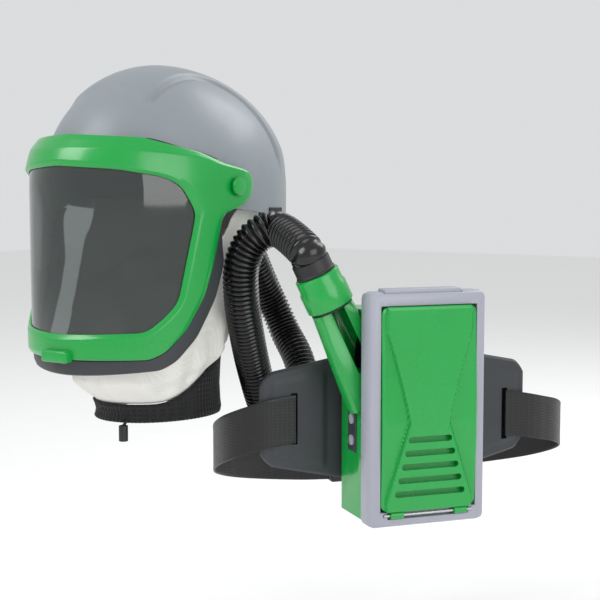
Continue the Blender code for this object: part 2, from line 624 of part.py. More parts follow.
def pad_shape(name, y, wall, inset, material, base):
    """A wide plate that curves round the waist, low and tall in its middle, tapering to the ends."""
    bm = bmesh.new()
    bmesh.ops.create_grid(bm, x_segments=22, y_segments=2, size=1.0)
    left, right = -0.145 + inset, 0.166 - inset
    for vert in bm.verts:
        share, up = vert.co.x, vert.co.y
        x = (left + right) / 2 + share * (right - left) / 2
        taper = max(0.0, (abs(share) - 0.45) / 0.55)
        corner = max(0.0, (abs(share) - 0.93) / 0.07) * 0.008
        top = 0.046 - 0.017 * taper - corner - inset
        bottom = -0.084 + 0.018 * taper + corner + inset
        bend = max(0.0, abs(x) - PAD_FLAT)
        vert.co = (x, y + PAD_CURVE * bend * bend, (top + bottom) / 2 + up * (top - bottom) / 2)
    piece = place(name, to_mesh(name, bm), material, base)
    thick = piece.modifiers.new("wall", 'SOLIDIFY')
    thick.thickness = wall
    thick.offset = 0.0
    return piece


def webbing(name, route, base):
    """Flat webbing standing on edge along a smooth route."""
    line = smooth_line([Vector(point) for point in route], 0.012)
    bm = bmesh.new()
    rows = [(bm.verts.new(p - Vector((0, 0, WEB_WIDTH / 2))), bm.verts.new(p + Vector((0, 0, WEB_WIDTH / 2))))
            for p in line]
    for first, second in zip(rows, rows[1:]):
        bm.faces.new((first[0], second[0], second[1], first[1]))
    piece = place(name, to_mesh(name, bm), WEBBING, base)
    thick = piece.modifiers.new("wall", 'SOLIDIFY')
    thick.thickness = WEB_THICK
    thick.offset = 0.0
    return piece


def belt(base):
    """Mount plate, pad, liner, webbing and buckle."""
    box("belt_mount_plate", (-0.040, BLOWER_DEPTH + 0.0004, -0.060), (0.040, 0.0900, 0.030), DARK_GREY, base,
        bevel=0.001, segments=1)
    pad = pad_shape("belt_pad", PAD_Y, 0.008, 0.0, DARK_GREY, base)
    pad_shape("belt_pad_liner", PAD_Y + 0.0075, 0.005, 0.010, FOAM, base)
    cut(pad, box("slot_left", (-0.1130, 0.08, -0.0450), (-0.1060, 0.13, 0.0090), parent=base))
    cut(pad, box("slot_right", (0.1350, 0.08, -0.0560), (0.1420, 0.13, 0.0010), parent=base))
    left = [(-0.1090, 0.0915, -0.0180), (-0.1250, 0.0925, -0.0200), (-0.1420, 0.0945, -0.0230),
            (-0.1590, 0.1030, -0.0290), (-0.1710, 0.1200, -0.0370), (-0.1755, 0.1430, -0.0460),
            (-0.1730, 0.1740, -0.0580),
            (-0.1600, 0.2080, -0.0710), (-0.1300, 0.2450, -0.0850), (-0.0850, 0.2750, -0.0970),
            (-0.0300, 0.2920, -0.1060), (0.0080, 0.2960, -0.1090)]
    right = [(0.1385, 0.0945, -0.0270), (0.1550, 0.0960, -0.0290), (0.1710, 0.0983, -0.0320),
             (0.1920, 0.1055, -0.0370),
             (0.2180, 0.1200, -0.0440), (0.2370, 0.1430, -0.0540), (0.2430, 0.1740, -0.0660),
             (0.2330, 0.2100, -0.0790), (0.2060, 0.2440, -0.0900), (0.1660, 0.2720, -0.0990),
             (0.1150, 0.2900, -0.1060), (0.0820, 0.2950, -0.1090)]
    webbing("belt_left", left, base)
    webbing("belt_right", right, base)
    socket = box("buckle_socket", (0.0090, 0.2890, -0.1370), (0.0480, 0.3030, -0.0810), BLACK, base)
    cut(socket, box("socket_room", (0.0200, 0.2920, -0.1310), (0.06, 0.3000, -0.0870), parent=base))
    soften(socket, 0.0015, 1)
    axis = empty("buckle_axis", (0.065, 0.296, -0.109), parent=base)
    plug = box("buckle_plug", (-0.0160, -0.0070, -0.0280), (0.0160, 0.0070, 0.0280), BLACK, axis, bevel=0.0015,
               segments=1)
    cut(plug, box("plug_prongs", (-0.0420, -0.0035, -0.0210), (-0.0100, 0.0035, 0.0210), parent=axis), 'UNION')


def breathing_tube(start, start_way, end, end_way):
    """The corrugated hose, as a plain tube of its outside diameter."""
    route = [start + start_way * 0.012, Vector((0.001, 0.190, -0.222)), Vector((0.008, 0.203, -0.250)), Vector((0.022, 0.205, -0.278)),
             Vector((0.046, 0.197, -0.306)), Vector((0.071, 0.180, -0.345)), Vector((0.086, 0.160, -0.378)),
             Vector((0.091, 0.134, -0.393)), Vector((0.084, 0.107, -0.380)), Vector((0.079, 0.085, -0.345)),
             Vector((0.086, 0.056, -0.300)), Vector((0.099, 0.026, -0.258)), Vector((0.112, 0.000, -0.217)),
             Vector((0.123, -0.013, -0.178)), Vector((0.138, -0.009, -0.151)), Vector((0.157, 0.004, -0.144)),
             end + end_way * 0.010]
    points = [start] + smooth_line(route, HOSE_RADIUS * 0.9) + [end]
    curve = bpy.data.curves.new("breathing_tube", 'CURVE')
    curve.dimensions = '3D'
    curve.bevel_depth = HOSE_RADIUS
    curve.bevel_resolution = 3
    curve.use_fill_caps = True
    curve.materials.append(HOSE_BLACK)
    line = curve.splines.new('POLY')
    line.points.add(len(points) - 1)
    for point, place_at in zip(line.points, points):
        point.co = (*place_at, 1)
    tube = bpy.data.objects.new("breathing_tube", curve)
    parts.objects.link(tube)


helmet_shell()
jaw_frame()
visor()
cape_and_cuff()
headgear()
hose_start, hose_start_way = air_path()

blower = empty("blower_base", BLOWER_PLACE, BLOWER_TURN)
blower_case(blower)
blower_inside(blower)
keypad(blower)
outlet_point, outlet_way = outlet(blower)
belt(blower)

swing = Matrix.Rotation(BLOWER_TURN, 4, 'Z')
breathing_tube(hose_start, hose_start_way, BLOWER_PLACE + swing @ outlet_point, swing @ outlet_way)
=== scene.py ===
# %% [markdown]
# A powered air respirator is a face helmet fed with filtered air through a corrugated hose.
# The air comes from a blower worn on a webbing belt. Every sub-part already has its true size
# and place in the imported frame, so this lesson only gives the surfaces their real form and finish.

# %% Load the frame
import json
from math import cos, degrees, hypot, pi, radians, sin, sqrt
import bmesh
import bpy
from mathutils import Matrix, Vector


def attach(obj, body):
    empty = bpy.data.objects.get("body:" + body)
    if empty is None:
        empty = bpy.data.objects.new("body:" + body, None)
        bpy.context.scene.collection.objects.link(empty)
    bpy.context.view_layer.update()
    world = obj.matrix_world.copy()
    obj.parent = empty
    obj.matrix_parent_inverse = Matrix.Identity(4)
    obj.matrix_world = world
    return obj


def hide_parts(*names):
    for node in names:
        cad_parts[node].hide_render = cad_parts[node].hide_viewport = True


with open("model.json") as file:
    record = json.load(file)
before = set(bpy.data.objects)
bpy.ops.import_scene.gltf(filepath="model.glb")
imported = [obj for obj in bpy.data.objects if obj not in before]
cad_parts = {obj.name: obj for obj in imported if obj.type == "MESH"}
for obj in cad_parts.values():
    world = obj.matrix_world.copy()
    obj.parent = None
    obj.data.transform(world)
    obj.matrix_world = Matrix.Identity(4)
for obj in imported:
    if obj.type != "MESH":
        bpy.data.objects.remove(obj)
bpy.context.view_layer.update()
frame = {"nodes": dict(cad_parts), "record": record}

# %% [markdown]
# The camera stands a little to the wearer's left and slightly above the middle of the object,
# as a catalogue photographer would place it, with a long lens so that upright edges stay upright.
# Large soft lights on both sides give the gloss on the mouldings long, quiet highlights.

# %% Camera, lights and floor
camera_data = bpy.data.cameras.new("catalogue_camera")
camera_data.lens = 78
camera_data.clip_end = 20
camera = bpy.data.objects.new("catalogue_camera", camera_data)
camera.location = (0.9355, -1.070, -0.100)
camera.rotation_euler = (radians(85), 0, radians(35))
bpy.context.scene.collection.objects.link(camera)
bpy.context.scene.camera = camera


def soft_light(name, place, aim, size, power):
    """A square studio light that looks at a point."""
    data = bpy.data.lights.new(name, 'AREA')
    data.size = size
    data.energy = power
    lamp = bpy.data.objects.new(name, data)
    lamp.location = place
    lamp.rotation_euler = (Vector(aim) - Vector(place)).to_track_quat('-Z', 'Y').to_euler()
    bpy.context.scene.collection.objects.link(lamp)


middle = (0.15, 0.05, -0.22)
soft_light("key_light", (-0.9, -1.6, 1.3), middle, 1.2, 26)
soft_light("fill_light", (1.9, -0.7, 0.5), middle, 1.4, 16)
soft_light("back_light", (0.6, 1.9, 1.5), middle, 1.4, 22)
world = bpy.data.worlds.new("white_room")
world.use_nodes = True
world.node_tree.nodes["Background"].inputs["Color"].default_value = (0.95, 0.96, 0.97, 1)
world.node_tree.nodes["Background"].inputs["Strength"].default_value = 0.75
bpy.context.scene.world = world
bpy.context.scene.view_settings.view_transform = 'Standard'

bpy.ops.mesh.primitive_plane_add(size=14, location=(0, 1.0, -0.62))
floor = bpy.context.active_object
floor.name = "pale_floor"
print("camera at", tuple(camera.location))

# %% [markdown]
# Materials come next. One function turns a screen colour into the linear one that shaders need,
# and one small function adds a node with its settings and links, so that each finish reads as a
# short list of what makes it up.

# %% Helpers for materials


def colour(code):
    """An sRGB hex colour as linear red, green, blue and alpha."""
    values = [int(code[index:index + 2], 16) / 255 for index in (0, 2, 4)]
    return (*[v / 12.92 if v <= 0.04045 else ((v + 0.055) / 1.055) ** 2.4 for v in values], 1)


def add(tree, kind, settings=(), inputs=(), links=()):
    """Add one shader node with its settings, input values and incoming links."""
    node = tree.nodes.new(kind)
    for key, value in dict(settings).items():
        setattr(node, key, value)
    for key, value in dict(inputs).items():
        node.inputs[key].default_value = value
    for key, source in dict(links).items():
        tree.links.new(source, node.inputs[key])
    return node


def blank(name, **inputs):
    """A new material with only its Principled shader, and the object coordinates it reads."""
    material = bpy.data.materials.new(name)
    material.use_nodes = True
    tree = material.node_tree
    shader = tree.nodes["Principled BSDF"]
    for key, value in inputs.items():
        shader.inputs[key.replace("_", " ")].default_value = value
    coords = add(tree, "ShaderNodeTexCoord")
    return material, tree, shader, coords.outputs["Object"]


def two_tones(tree, shader, factor, dark, light):
    """Colour between two tones by a factor."""
    mix = add(tree, "ShaderNodeMix", {"data_type": 'RGBA'}, {6: colour(dark), 7: colour(light)}, {0: factor})
    tree.links.new(mix.outputs[2], shader.inputs["Base Color"])


def rough_between(tree, shader, factor, low, high):
    """Roughness between two values by a factor."""
    spread = add(tree, "ShaderNodeMapRange", (), {"To Min": low, "To Max": high}, {"Value": factor})
    tree.links.new(spread.outputs["Result"], shader.inputs["Roughness"])


def raised(tree, shader, height, depth_mm, strength=1.0):
    """Bump from a height signal, its depth in millimetres."""
    bump = add(tree, "ShaderNodeBump", (), {"Strength": strength, "Distance": depth_mm / 1000},
               {"Height": height})
    tree.links.new(bump.outputs["Normal"], shader.inputs["Normal"])


# %% [markdown]
# Injection-moulded shells show three things: a slow change of tone from the melt's flow, a fine
# spark-eroded grain from the steel mould, and slightly duller patches where hands rub. Noise at
# two scales gives all three. Grain of 0.3 mm is drawn at about 0.8 mm so that it still shows.

# %% Moulded plastics and rubber


def moulded(name, dark, light, low, high, grain_mm=0.8, grain_depth=0.02, coat=0.0):
    """Moulded plastic between two tones and two roughnesses, with mould grain."""
    material, tree, shader, place = blank(name, Coat_Weight=coat, Coat_Roughness=0.12)
    flow = add(tree, "ShaderNodeTexNoise", (), {"Scale": 14, "Detail": 4, "Roughness": 0.6},
               {"Vector": place})
    grain = add(tree, "ShaderNodeTexNoise", (), {"Scale": 1000 / grain_mm, "Detail": 2}, {"Vector": place})
    rub = add(tree, "ShaderNodeTexNoise", (), {"Scale": 45, "Detail": 5}, {"Vector": place})
    two_tones(tree, shader, flow.outputs["Fac"], dark, light)
    rough_between(tree, shader, rub.outputs["Fac"], low, high)
    raised(tree, shader, grain.outputs["Fac"], grain_depth)
    return material


SHELL_GREY = moulded("satin_grey_abs", "7e858b", "868d93", 0.34, 0.50, coat=0.05)
FRAME_GREY = moulded("satin_pale_grey_abs", "9496a2", "9fa1ac", 0.34, 0.48)
GREEN = moulded("gloss_green_nylon", "008f35", "009b40", 0.22, 0.36, grain_depth=0.012, coat=0.25)
DARK_GREY = moulded("matt_dark_grey_nylon", "2a2d31", "34373c", 0.42, 0.60, grain_depth=0.04)
BLACK = moulded("matt_black_nylon", "141416", "1e1e21", 0.38, 0.58)
RUBBER = moulded("black_moulded_rubber", "101011", "1a1a1b", 0.60, 0.80, grain_mm=1.2, grain_depth=0.05)
HOSE = moulded("gloss_black_extruded_hose", "0c0c0e", "141417", 0.16, 0.30, grain_mm=2.0, grain_depth=0.02)

# %% [markdown]
# The lens is cast clear sheet with a light smoke tint. Its colour is set darker than that tint,
# as painted shade for the helmet's dark inside seen through it. It keeps its own gloss, lets most light
# through and picks up faint wiping marks, which only change its roughness.

# %% Clear lens
# Base colour: a light smoke tint, deepened with painted shade for the dark inside behind the lens.
LENS, lens_tree, lens_shader, lens_place = blank(
    "smoked_polycarbonate_with_painted_shade", IOR=1.58, Transmission_Weight=0.92, Base_Color=colour("7f8886"))
wipes = add(lens_tree, "ShaderNodeTexNoise", (), {"Scale": 30, "Detail": 6, "Distortion": 1.5},
            {"Vector": lens_place})
rough_between(lens_tree, lens_shader, wipes.outputs["Fac"], 0.01, 0.07)

# %% [markdown]
# Woven and knitted goods need thread. Two crossed waves make a plain weave: their product
# rises where one thread passes over the other, and repeats every two threads. Real threads of
# about 0.4 mm are drawn 1 to 3 mm wide, so that they still show.

# %% Cloth, webbing and knit


def woven(name, dark, light, thread_mm, depth_mm, low, high, sheen=0.2, ribs=False):
    """A plain weave, or vertical ribs, between two tones."""
    material, tree, shader, place = blank(name, Sheen_Weight=sheen, Sheen_Roughness=0.4)
    scale = 1000 / thread_mm / 20 * 3.1416
    across = add(tree, "ShaderNodeTexWave", {"bands_direction": 'X'}, {"Scale": scale, "Distortion": 0.6},
                 {"Vector": place})
    along = add(tree, "ShaderNodeTexWave", {"bands_direction": 'Z'}, {"Scale": scale, "Distortion": 0.6},
                {"Vector": place})
    both = add(tree, "ShaderNodeMath", {"operation": 'MULTIPLY' if not ribs else 'MAXIMUM'}, (),
               {0: across.outputs["Fac"], 1: along.outputs["Fac"]})
    slub = add(tree, "ShaderNodeTexNoise", (), {"Scale": 160, "Detail": 6}, {"Vector": place})
    tone = add(tree, "ShaderNodeMath", {"operation": 'MULTIPLY'}, (),
               {0: both.outputs[0], 1: slub.outputs["Fac"]})
    two_tones(tree, shader, tone.outputs[0], dark, light)
    rough_between(tree, shader, slub.outputs["Fac"], low, high)
    raised(tree, shader, both.outputs[0], depth_mm)
    return material


CLOTH = woven("coated_white_woven_nylon", "dcdad5", "f4f3f0", 1.0, 0.05, 0.60, 0.85, sheen=0.3)
WEBBING = woven("black_woven_polyester_webbing", "060607", "1d1d20", 1.6, 0.20, 0.35, 0.55, sheen=0.08)
KNIT = woven("black_rib_knit", "0c0c0d", "232325", 2.6, 0.60, 0.80, 0.95, ribs=True)
FOAM = woven("dark_spacer_mesh", "1a1a1d", "303035", 2.4, 0.40, 0.75, 0.90)
MEDIA = woven("pleated_white_filter_fibre", "c9c8c0", "e8e7e0", 3.0, 0.60, 0.80, 0.95, ribs=True)

# %% [markdown]
# The few metal pieces are turned steel: fine lines run round them, and these are drawn as
# stretched noise that only changes roughness. The board is epoxy glass under a green mask.

# %% Steel and circuit board
STEEL, steel_tree, steel_shader, steel_place = blank(
    "turned_steel", Metallic=1.0, Base_Color=colour("b8b9bb"))
stretch = add(steel_tree, "ShaderNodeMapping", (), {"Scale": (900, 60, 60)}, {"Vector": steel_place})
lines = add(steel_tree, "ShaderNodeTexNoise", (), {"Scale": 1.0, "Detail": 3}, {"Vector": stretch.outputs[0]})
rough_between(steel_tree, steel_shader, lines.outputs["Fac"], 0.18, 0.40)
BOARD = moulded("solder_masked_board", "0b3d1c", "11572a", 0.25, 0.40, grain_mm=3.0)

# %% [markdown]
# The floor is a pale seamless sheet, so that nothing competes with the object.

# %% Floor finish
floor.data.materials.append(moulded("pale_seamless_paper", "f4f4f3", "f8f8f7", 0.85, 0.95))

# %% [markdown]
# Frame pieces whose shape is already right are merged from their loose triangles, given a tiny
# rounding on their sharp edges, because no moulded edge is truly sharp, and shaded smooth where
# the real surface is round.

# %% Finish the frame's own pieces


def object_of(bm, name):
    """Turn a finished mesh build into an object of this name, and free the build."""
    mesh = bpy.data.meshes.new(name)
    bm.to_mesh(mesh)
    bm.free()
    piece = bpy.data.objects.new(name, mesh)
    bpy.context.scene.collection.objects.link(piece)
    return piece


def dress(piece, material):
    """Give a piece one finish."""
    piece.data.materials.clear()
    piece.data.materials.append(material)


def only(piece):
    """Select one object and make it active."""
    bpy.ops.object.select_all(action='DESELECT')
    piece.select_set(True)
    bpy.context.view_layer.objects.active = piece


def settle(piece):
    """Apply every modifier in order."""
    only(piece)
    for modifier in list(piece.modifiers):
        bpy.ops.object.modifier_apply(modifier=modifier.name)


def stand_for(piece, material, body, *nodes):
    """Dress a finished piece, tie it to its body and let it stand for frame pieces."""
    dress(piece, material)
    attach(piece, body)
    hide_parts(*nodes)


def refined(node, material, body, rounding=0.0006, angle=32):
    """A merged copy of a frame piece, its sharp edges rounded and its round sides smooth."""
    source = frame["nodes"][node]
    mesh = source.data.copy()
    bm = bmesh.new()
    bm.from_mesh(mesh)
    bmesh.ops.remove_doubles(bm, verts=bm.verts, dist=0.00002)
    bmesh.ops.dissolve_limit(bm, angle_limit=radians(0.6), verts=bm.verts, edges=bm.edges)
    bm.to_mesh(mesh)
    bm.free()
    piece = bpy.data.objects.new(node + "_finished", mesh)
    bpy.context.scene.collection.objects.link(piece)
    if rounding:
        bevel = piece.modifiers.new("edge", 'BEVEL')
        bevel.width = rounding
        bevel.segments = 2
        bevel.limit_method = 'ANGLE'
        bevel.angle_limit = radians(40)
        settle(piece)
    only(piece)
    bpy.ops.object.shade_smooth_by_angle(angle=radians(angle))
    stand_for(piece, material, body, node)
    return piece


slots = {entry["node"]: entry["material_slot"] for entry in frame["record"]["subparts"]}
body_of = {node: body for body, nodes in frame["record"]["behaviour"]["bodies"].items() for node in nodes}
finishes = {
    "shell_grey": FRAME_GREY, "green_moulding": GREEN, "dark_moulding": DARK_GREY, "black_moulding": BLACK,
    "black_rubber": RUBBER, "clear_lens": LENS, "white_cloth": CLOTH, "black_knit": KNIT, "hose_black": HOSE,
    "black_webbing": WEBBING, "steel": STEEL, "circuit_board": BOARD, "filter_media": MEDIA,
    "grey_foam": FOAM,
}
for node, piece in frame["nodes"].items():
    dress(piece, finishes[slots[node]])
rounded_nodes = [
    "rear_housing", "front_frame", "bayonet_collar", "blower_hose_cuff", "helmet_hose_cuff",
    "outlet_seal", "keypad_panel", "speed_button", "power_button", "cover_latch", "buckle_socket",
    "buckle_plug", "belt_mount_plate", "ratchet_knob", "nape_housing", "pivot_cap_left",
    "pivot_cap_right", "cuff_toggle", "helmet_inlet", "battery_pack", "battery_latch",
    "belt_pad_liner", "headband", "nape_band", "sweatband", "crown_strap", "air_duct",
]
for node in rounded_nodes:
    smooth_only = node in ("headband", "nape_band", "sweatband", "crown_strap", "air_duct", "rear_housing")
    rounding = 0.0 if smooth_only else 0.0022 if node == "front_frame" else 0.0005
    piece = refined(node, finishes[slots[node]], body_of[node], rounding)
print("finished", len(rounded_nodes), "frame pieces")

# %% [markdown]
# The breathing hose is an extruded tube with ring corrugations, which let it bend tightly without
# kinking. A ring every 5.2 mm is made by changing the radius along one smooth line between the two
# cuffs. The line is the same route that the frame's plain tube takes, and the hose's stated length
# is the length of this route, rounded.

# %% Route of the hose
HOSE_DIAMETER = 0.038
RIB_PITCH = 0.0052
RIB_DEPTH = 0.0030
SIDES = 36
blower_turn = Matrix.Rotation(radians(55), 3, 'Z')
blower_place = Vector((0.304, 0.057, -0.323))
lean = radians(-26)
outlet_up = Vector((sin(lean), 0, cos(lean)))
outlet_end = Vector((-0.087, 0.045, 0.1015)) + outlet_up * (0.0028 + 0.0240 + 0.0273)
inlet_way = Vector((0, sin(radians(22)), -cos(radians(22))))
hose_start = Vector((0, 0.1400, -0.1240)) + inlet_way * 0.0446
hose_end = blower_place + blower_turn @ outlet_end
end_way = blower_turn @ outlet_up
route = [hose_start + inlet_way * 0.012, Vector((0.001, 0.190, -0.222)), Vector((0.008, 0.203, -0.250)),
         Vector((0.022, 0.205, -0.278)), Vector((0.046, 0.197, -0.306)), Vector((0.071, 0.180, -0.345)),
         Vector((0.086, 0.160, -0.378)), Vector((0.091, 0.134, -0.393)), Vector((0.084, 0.107, -0.380)),
         Vector((0.079, 0.085, -0.345)), Vector((0.086, 0.056, -0.300)), Vector((0.099, 0.026, -0.258)),
         Vector((0.112, 0.000, -0.217)), Vector((0.123, -0.013, -0.178)), Vector((0.138, -0.009, -0.151)),
         Vector((0.157, 0.004, -0.144)), hose_end + end_way * 0.010]


def smooth_line(points, spacing):
    """Evenly spaced points on a smooth curve through given ones."""
    dense = []
    ends = [points[0] * 2 - points[1]] + list(points) + [points[-1] * 2 - points[-2]]
    for index in range(1, len(ends) - 2):
        before, start, end, after = ends[index - 1:index + 3]
        for step in range(16):
            t = step / 16
            dense.append(0.5 * (2 * start + (end - before) * t
                                + (2 * before - 5 * start + 4 * end - after) * t * t
                                + (3 * start - before - 3 * end + after) * t ** 3))
    dense.append(points[-1])
    total = sum((b - a).length for a, b in zip(dense, dense[1:]))
    count = max(2, round(total / spacing))
    even = [dense[0]]
    gone = 0.0
    for start, end in zip(dense, dense[1:]):
        length = (end - start).length
        while len(even) < count and gone + length >= len(even) * total / count - 1e-12:
            even.append(start.lerp(end, (len(even) * total / count - gone) / length))
        gone += length
    even.append(dense[-1])
    return even


line = smooth_line([hose_start] + route + [hose_end], RIB_PITCH / 6)
for _ in range(12):
    line[1:-1] = [(a + b * 2 + c) / 4 for a, b, c in zip(line, line[1:], line[2:])]
hose_length = sum((b - a).length for a, b in zip(line, line[1:]))
print("hose length", round(hose_length, 3), "m")

# %% Corrugated hose


def swept(name, points, radius_at, sides):
    """A closed tube along points whose radius changes with the distance travelled."""
    bm = bmesh.new()
    normal = (points[1] - points[0]).orthogonal().normalized()
    rings = []
    gone = 0.0
    for index, point in enumerate(points):
        way = (points[min(index + 1, len(points) - 1)] - points[max(index - 1, 0)]).normalized()
        normal = (normal - way * normal.dot(way)).normalized()
        side = way.cross(normal)
        radius = radius_at(gone)
        turns = [2 * pi * k / sides for k in range(sides)]
        rings.append([bm.verts.new(point + (normal * cos(turn) + side * sin(turn)) * radius)
                      for turn in turns])
        if index + 1 < len(points):
            gone += (points[index + 1] - point).length
    for lower, upper in zip(rings, rings[1:]):
        for k in range(sides):
            following = (k + 1) % sides
            bm.faces.new((lower[k], lower[following], upper[following], upper[k]))
    bm.faces.new(list(reversed(rings[0])))
    bm.faces.new(rings[-1])
    bmesh.ops.recalc_face_normals(bm, faces=bm.faces)
    piece = object_of(bm, name)
    only(piece)
    bpy.ops.object.shade_smooth_by_angle(angle=radians(60))
    return piece


def rib_radius(gone):
    """A rounded crest and a narrower root once in every pitch, plain at both ends."""
    wave = 0.5 + 0.5 * cos(2 * pi * gone / RIB_PITCH)
    inside = min(1.0, min(gone, hose_length - gone) / RIB_PITCH)
    return HOSE_DIAMETER / 2 - 0.0002 - RIB_DEPTH * (1 - wave ** 0.6) * max(0.0, inside)


hose = swept("corrugated_hose", line, rib_radius, SIDES)
stand_for(hose, HOSE, "root", "breathing_tube")
print("hose ribs", round(hose_length / RIB_PITCH))

# %% [markdown]
# The helmet's mouldings all follow one head-shaped form: a dome over near-upright walls. Working
# on that form, a piece is a patch of it: an angle round the head, a height, and a depth below the
# bezel's outer face. One function turns these three into a point.

# %% The helmet's form
PIVOT_HEIGHT = -0.100
DROP = 0.40


def on_form(turn, height, inset=0.0, half_width=0.126, front=0.156, back=0.180, top=0.125):
    """A point on the head form; turn 0 is the front and positive turns go to the wearer's left."""
    if height >= 0:
        reach = sqrt(max(0.0, 1 - (height / top) ** 2))
    else:
        reach = (1 - (height / DROP) ** 4) ** 0.25
    length = front if abs(turn) < pi / 2 else back
    return Vector(((half_width - inset) * reach * sin(turn), -(length - inset) * reach * cos(turn),
                   height + PIVOT_HEIGHT))


def between(levels, height):
    """Values at a height, from a short list of levels ordered from the top down."""
    for upper, lower in zip(levels, levels[1:]):
        if (height - lower[0]) * (lower[0] - upper[0]) <= 0:
            t = max(0.0, min(1.0, (upper[0] - height) / (upper[0] - lower[0])))
            t = t * t * (3 - 2 * t) * 0.4 + t * 0.6
            return [a + (b - a) * t for a, b in zip(upper[1:], lower[1:])]
    return list(levels[-1][1:])


def stretch_out(corners):
    """Outline corners in degrees round the head and metres up, as near-true distances."""
    return [Vector((radians(turn) * 0.141, height)) for turn, height in corners]


def mirrored(half):
    """A full outline from its left half, which runs from the top middle to the bottom middle."""
    return half + [(-turn, height) for turn, height in reversed(half) if abs(turn) > 1e-6]


def corner_rounded(corners, radius, steps=6):
    """An outline whose corners are replaced by arcs."""
    result = []
    for index, corner in enumerate(corners):
        before = corners[index - 1] - corner
        after = corners[(index + 1) % len(corners)] - corner
        reach = min(radius, before.length * 0.48, after.length * 0.48)
        first = corner + before.normalized() * reach
        last = corner + after.normalized() * reach
        for step in range(steps + 1):
            t = step / steps
            result.append(first * (1 - t) ** 2 + corner * 2 * t * (1 - t) + last * t * t)
    return result


def reach_of(outline, centre, angle):
    """How far a ray from the centre goes before it meets the outline."""
    way = Vector((cos(angle), sin(angle)))
    best = 0.0
    for first, last in zip(outline, outline[1:] + outline[:1]):
        edge = last - first
        cross = way.x * edge.y - way.y * edge.x
        if abs(cross) < 1e-12:
            continue
        gap = first - centre
        along = (gap.x * edge.y - gap.y * edge.x) / cross
        share = (gap.x * way.y - gap.y * way.x) / cross
        if along > 0 and -1e-9 <= share <= 1 + 1e-9:
            best = max(best, along)
    return best


CENTRE = Vector((0, -0.060))
WINDOW_CORNER = 0.009
BEZEL_CORNER = 0.006
WINDOW = corner_rounded(stretch_out(mirrored([
    (0, 0.0205), (30, 0.0165), (49, 0.0095), (56.5, 0.0010), (63, -0.0260),
    (55, -0.1150), (49, -0.1305), (41.5, -0.1440), (0, -0.1470),
])), WINDOW_CORNER)
BEZEL = corner_rounded(stretch_out(mirrored([
    (0, 0.052), (40, 0.048), (66, 0.0335), (76, 0.0235), (90.5, 0.0160), (92.0, 0.003),
    (90.5, -0.012), (87, -0.018), (80, -0.0195), (74.8, -0.031), (70, -0.0816),
    (66.5, -0.1084), (58.1, -0.1434), (49.5, -0.1640), (43, -0.1710), (0, -0.172),
])), BEZEL_CORNER)
RAYS = 288


def patch(name, profile, shade=40, angles=None):
    """A closed ring moulded on the form.

    For each ray, the profile lists the (distance, inset) pairs round its section.
    """
    bm = bmesh.new()
    sweep = angles or [2 * pi * k / RAYS for k in range(RAYS)]
    sections = []
    for angle in sweep:
        way = Vector((cos(angle), sin(angle)))
        row = []
        for distance, inset in profile(angle):
            spot = CENTRE + way * distance
            row.append(bm.verts.new(on_form(spot.x / 0.141, spot.y, inset)))
        sections.append(row)
    closed = angles is None
    pairs = list(zip(sections, sections[1:] + sections[:1] if closed else sections[1:]))
    for first, last in pairs:
        for k in range(len(first)):
            following = (k + 1) % len(first)
            bm.faces.new((first[k], first[following], last[following], last[k]))
    if not closed:
        bm.faces.new(list(reversed(sections[0])))
        bm.faces.new(sections[-1])
    bmesh.ops.remove_doubles(bm, verts=bm.verts, dist=0.000001)
    bmesh.ops.recalc_face_normals(bm, faces=bm.faces)
    piece = object_of(bm, name)
    only(piece)
    bpy.ops.object.shade_smooth_by_angle(angle=radians(shade))
    return piece


# %% [markdown]
# The visor's bezel is a broad green moulding with a bright chamfer round the window, a softer one
# round its outside, and a steeper facet along the brow. Its section is swept round the window.

# %% Visor bezel
INNER_FACE = 0.0042


def bezel_section(angle):
    """The bezel's section on one ray: back of the window edge, chamfer, face, outer facet, back."""
    near = reach_of(WINDOW, CENTRE, angle)
    far = reach_of(BEZEL, CENTRE, angle)
    brow = max(0.0, min(1.0, (CENTRE.y + far * sin(angle) - 0.030) / 0.015))
    chamfer = min(0.0045, (far - near) * 0.2)
    facet = min(0.0040 + 0.0090 * brow, (far - near) * 0.45)
    drop = 0.0016 + 0.0022 * brow
    back = max(INNER_FACE, drop + 0.0028)
    row = [(near, INNER_FACE), (near, 0.0030), (near + 0.0004, 0.0026), (near + chamfer, 0.0003),
           (near + chamfer + 0.0006, 0.0)]
    start, end = near + chamfer + 0.0006, far - facet - 0.0006
    row += [(start + (end - start) * k / 8, 0.0) for k in range(1, 9)]
    row += [(far - facet, 0.0003), (far - facet * 0.5, 0.0003 + drop * 0.45), (far - 0.0010, drop),
            (far, drop + 0.0008), (far, back)]
    row += [(far + (near - far) * k / 10, INNER_FACE + (back - INNER_FACE) * max(0, 1 - k / 3))
            for k in range(1, 10)]
    return row


bezel = patch("visor_bezel_finished", bezel_section, 32)
tab_low, tab_high = Vector((-0.017, -0.1622, -0.2745)), Vector((0.017, -0.1505, -0.2625))
bpy.ops.object.select_all(action='DESELECT')
bpy.ops.mesh.primitive_cube_add(size=1, location=(tab_low + tab_high) / 2)
tab = bpy.context.active_object
tab.scale = tab_high - tab_low
bpy.ops.object.transform_apply(location=True, scale=True)
tab_round = tab.modifiers.new("round", 'BEVEL')
tab_round.width = 0.0024
tab_round.segments = 4
settle(tab)
bpy.ops.object.shade_smooth_by_angle(angle=radians(35))
tab.name = "lift_tab"
dress(tab, GREEN)
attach(tab, "visor")
stand_for(bezel, GREEN, "visor", "visor_bezel")
print("bezel faces", len(bezel.data.polygons))

# %% [markdown]
# Behind the bezel lie the lens, a sheet 1.5 mm thick that reaches 6.5 mm past the window all
# round, and its rubber gasket. Both follow the same form, a little further in. Below and behind them the dark
# jaw frame steps out from under the bezel's edge.

# %% Lens, gasket and jaw frame
LENS_FACE = 0.0047
LENS_THICKNESS = 0.0015
LENS_OVERLAP = 0.0065


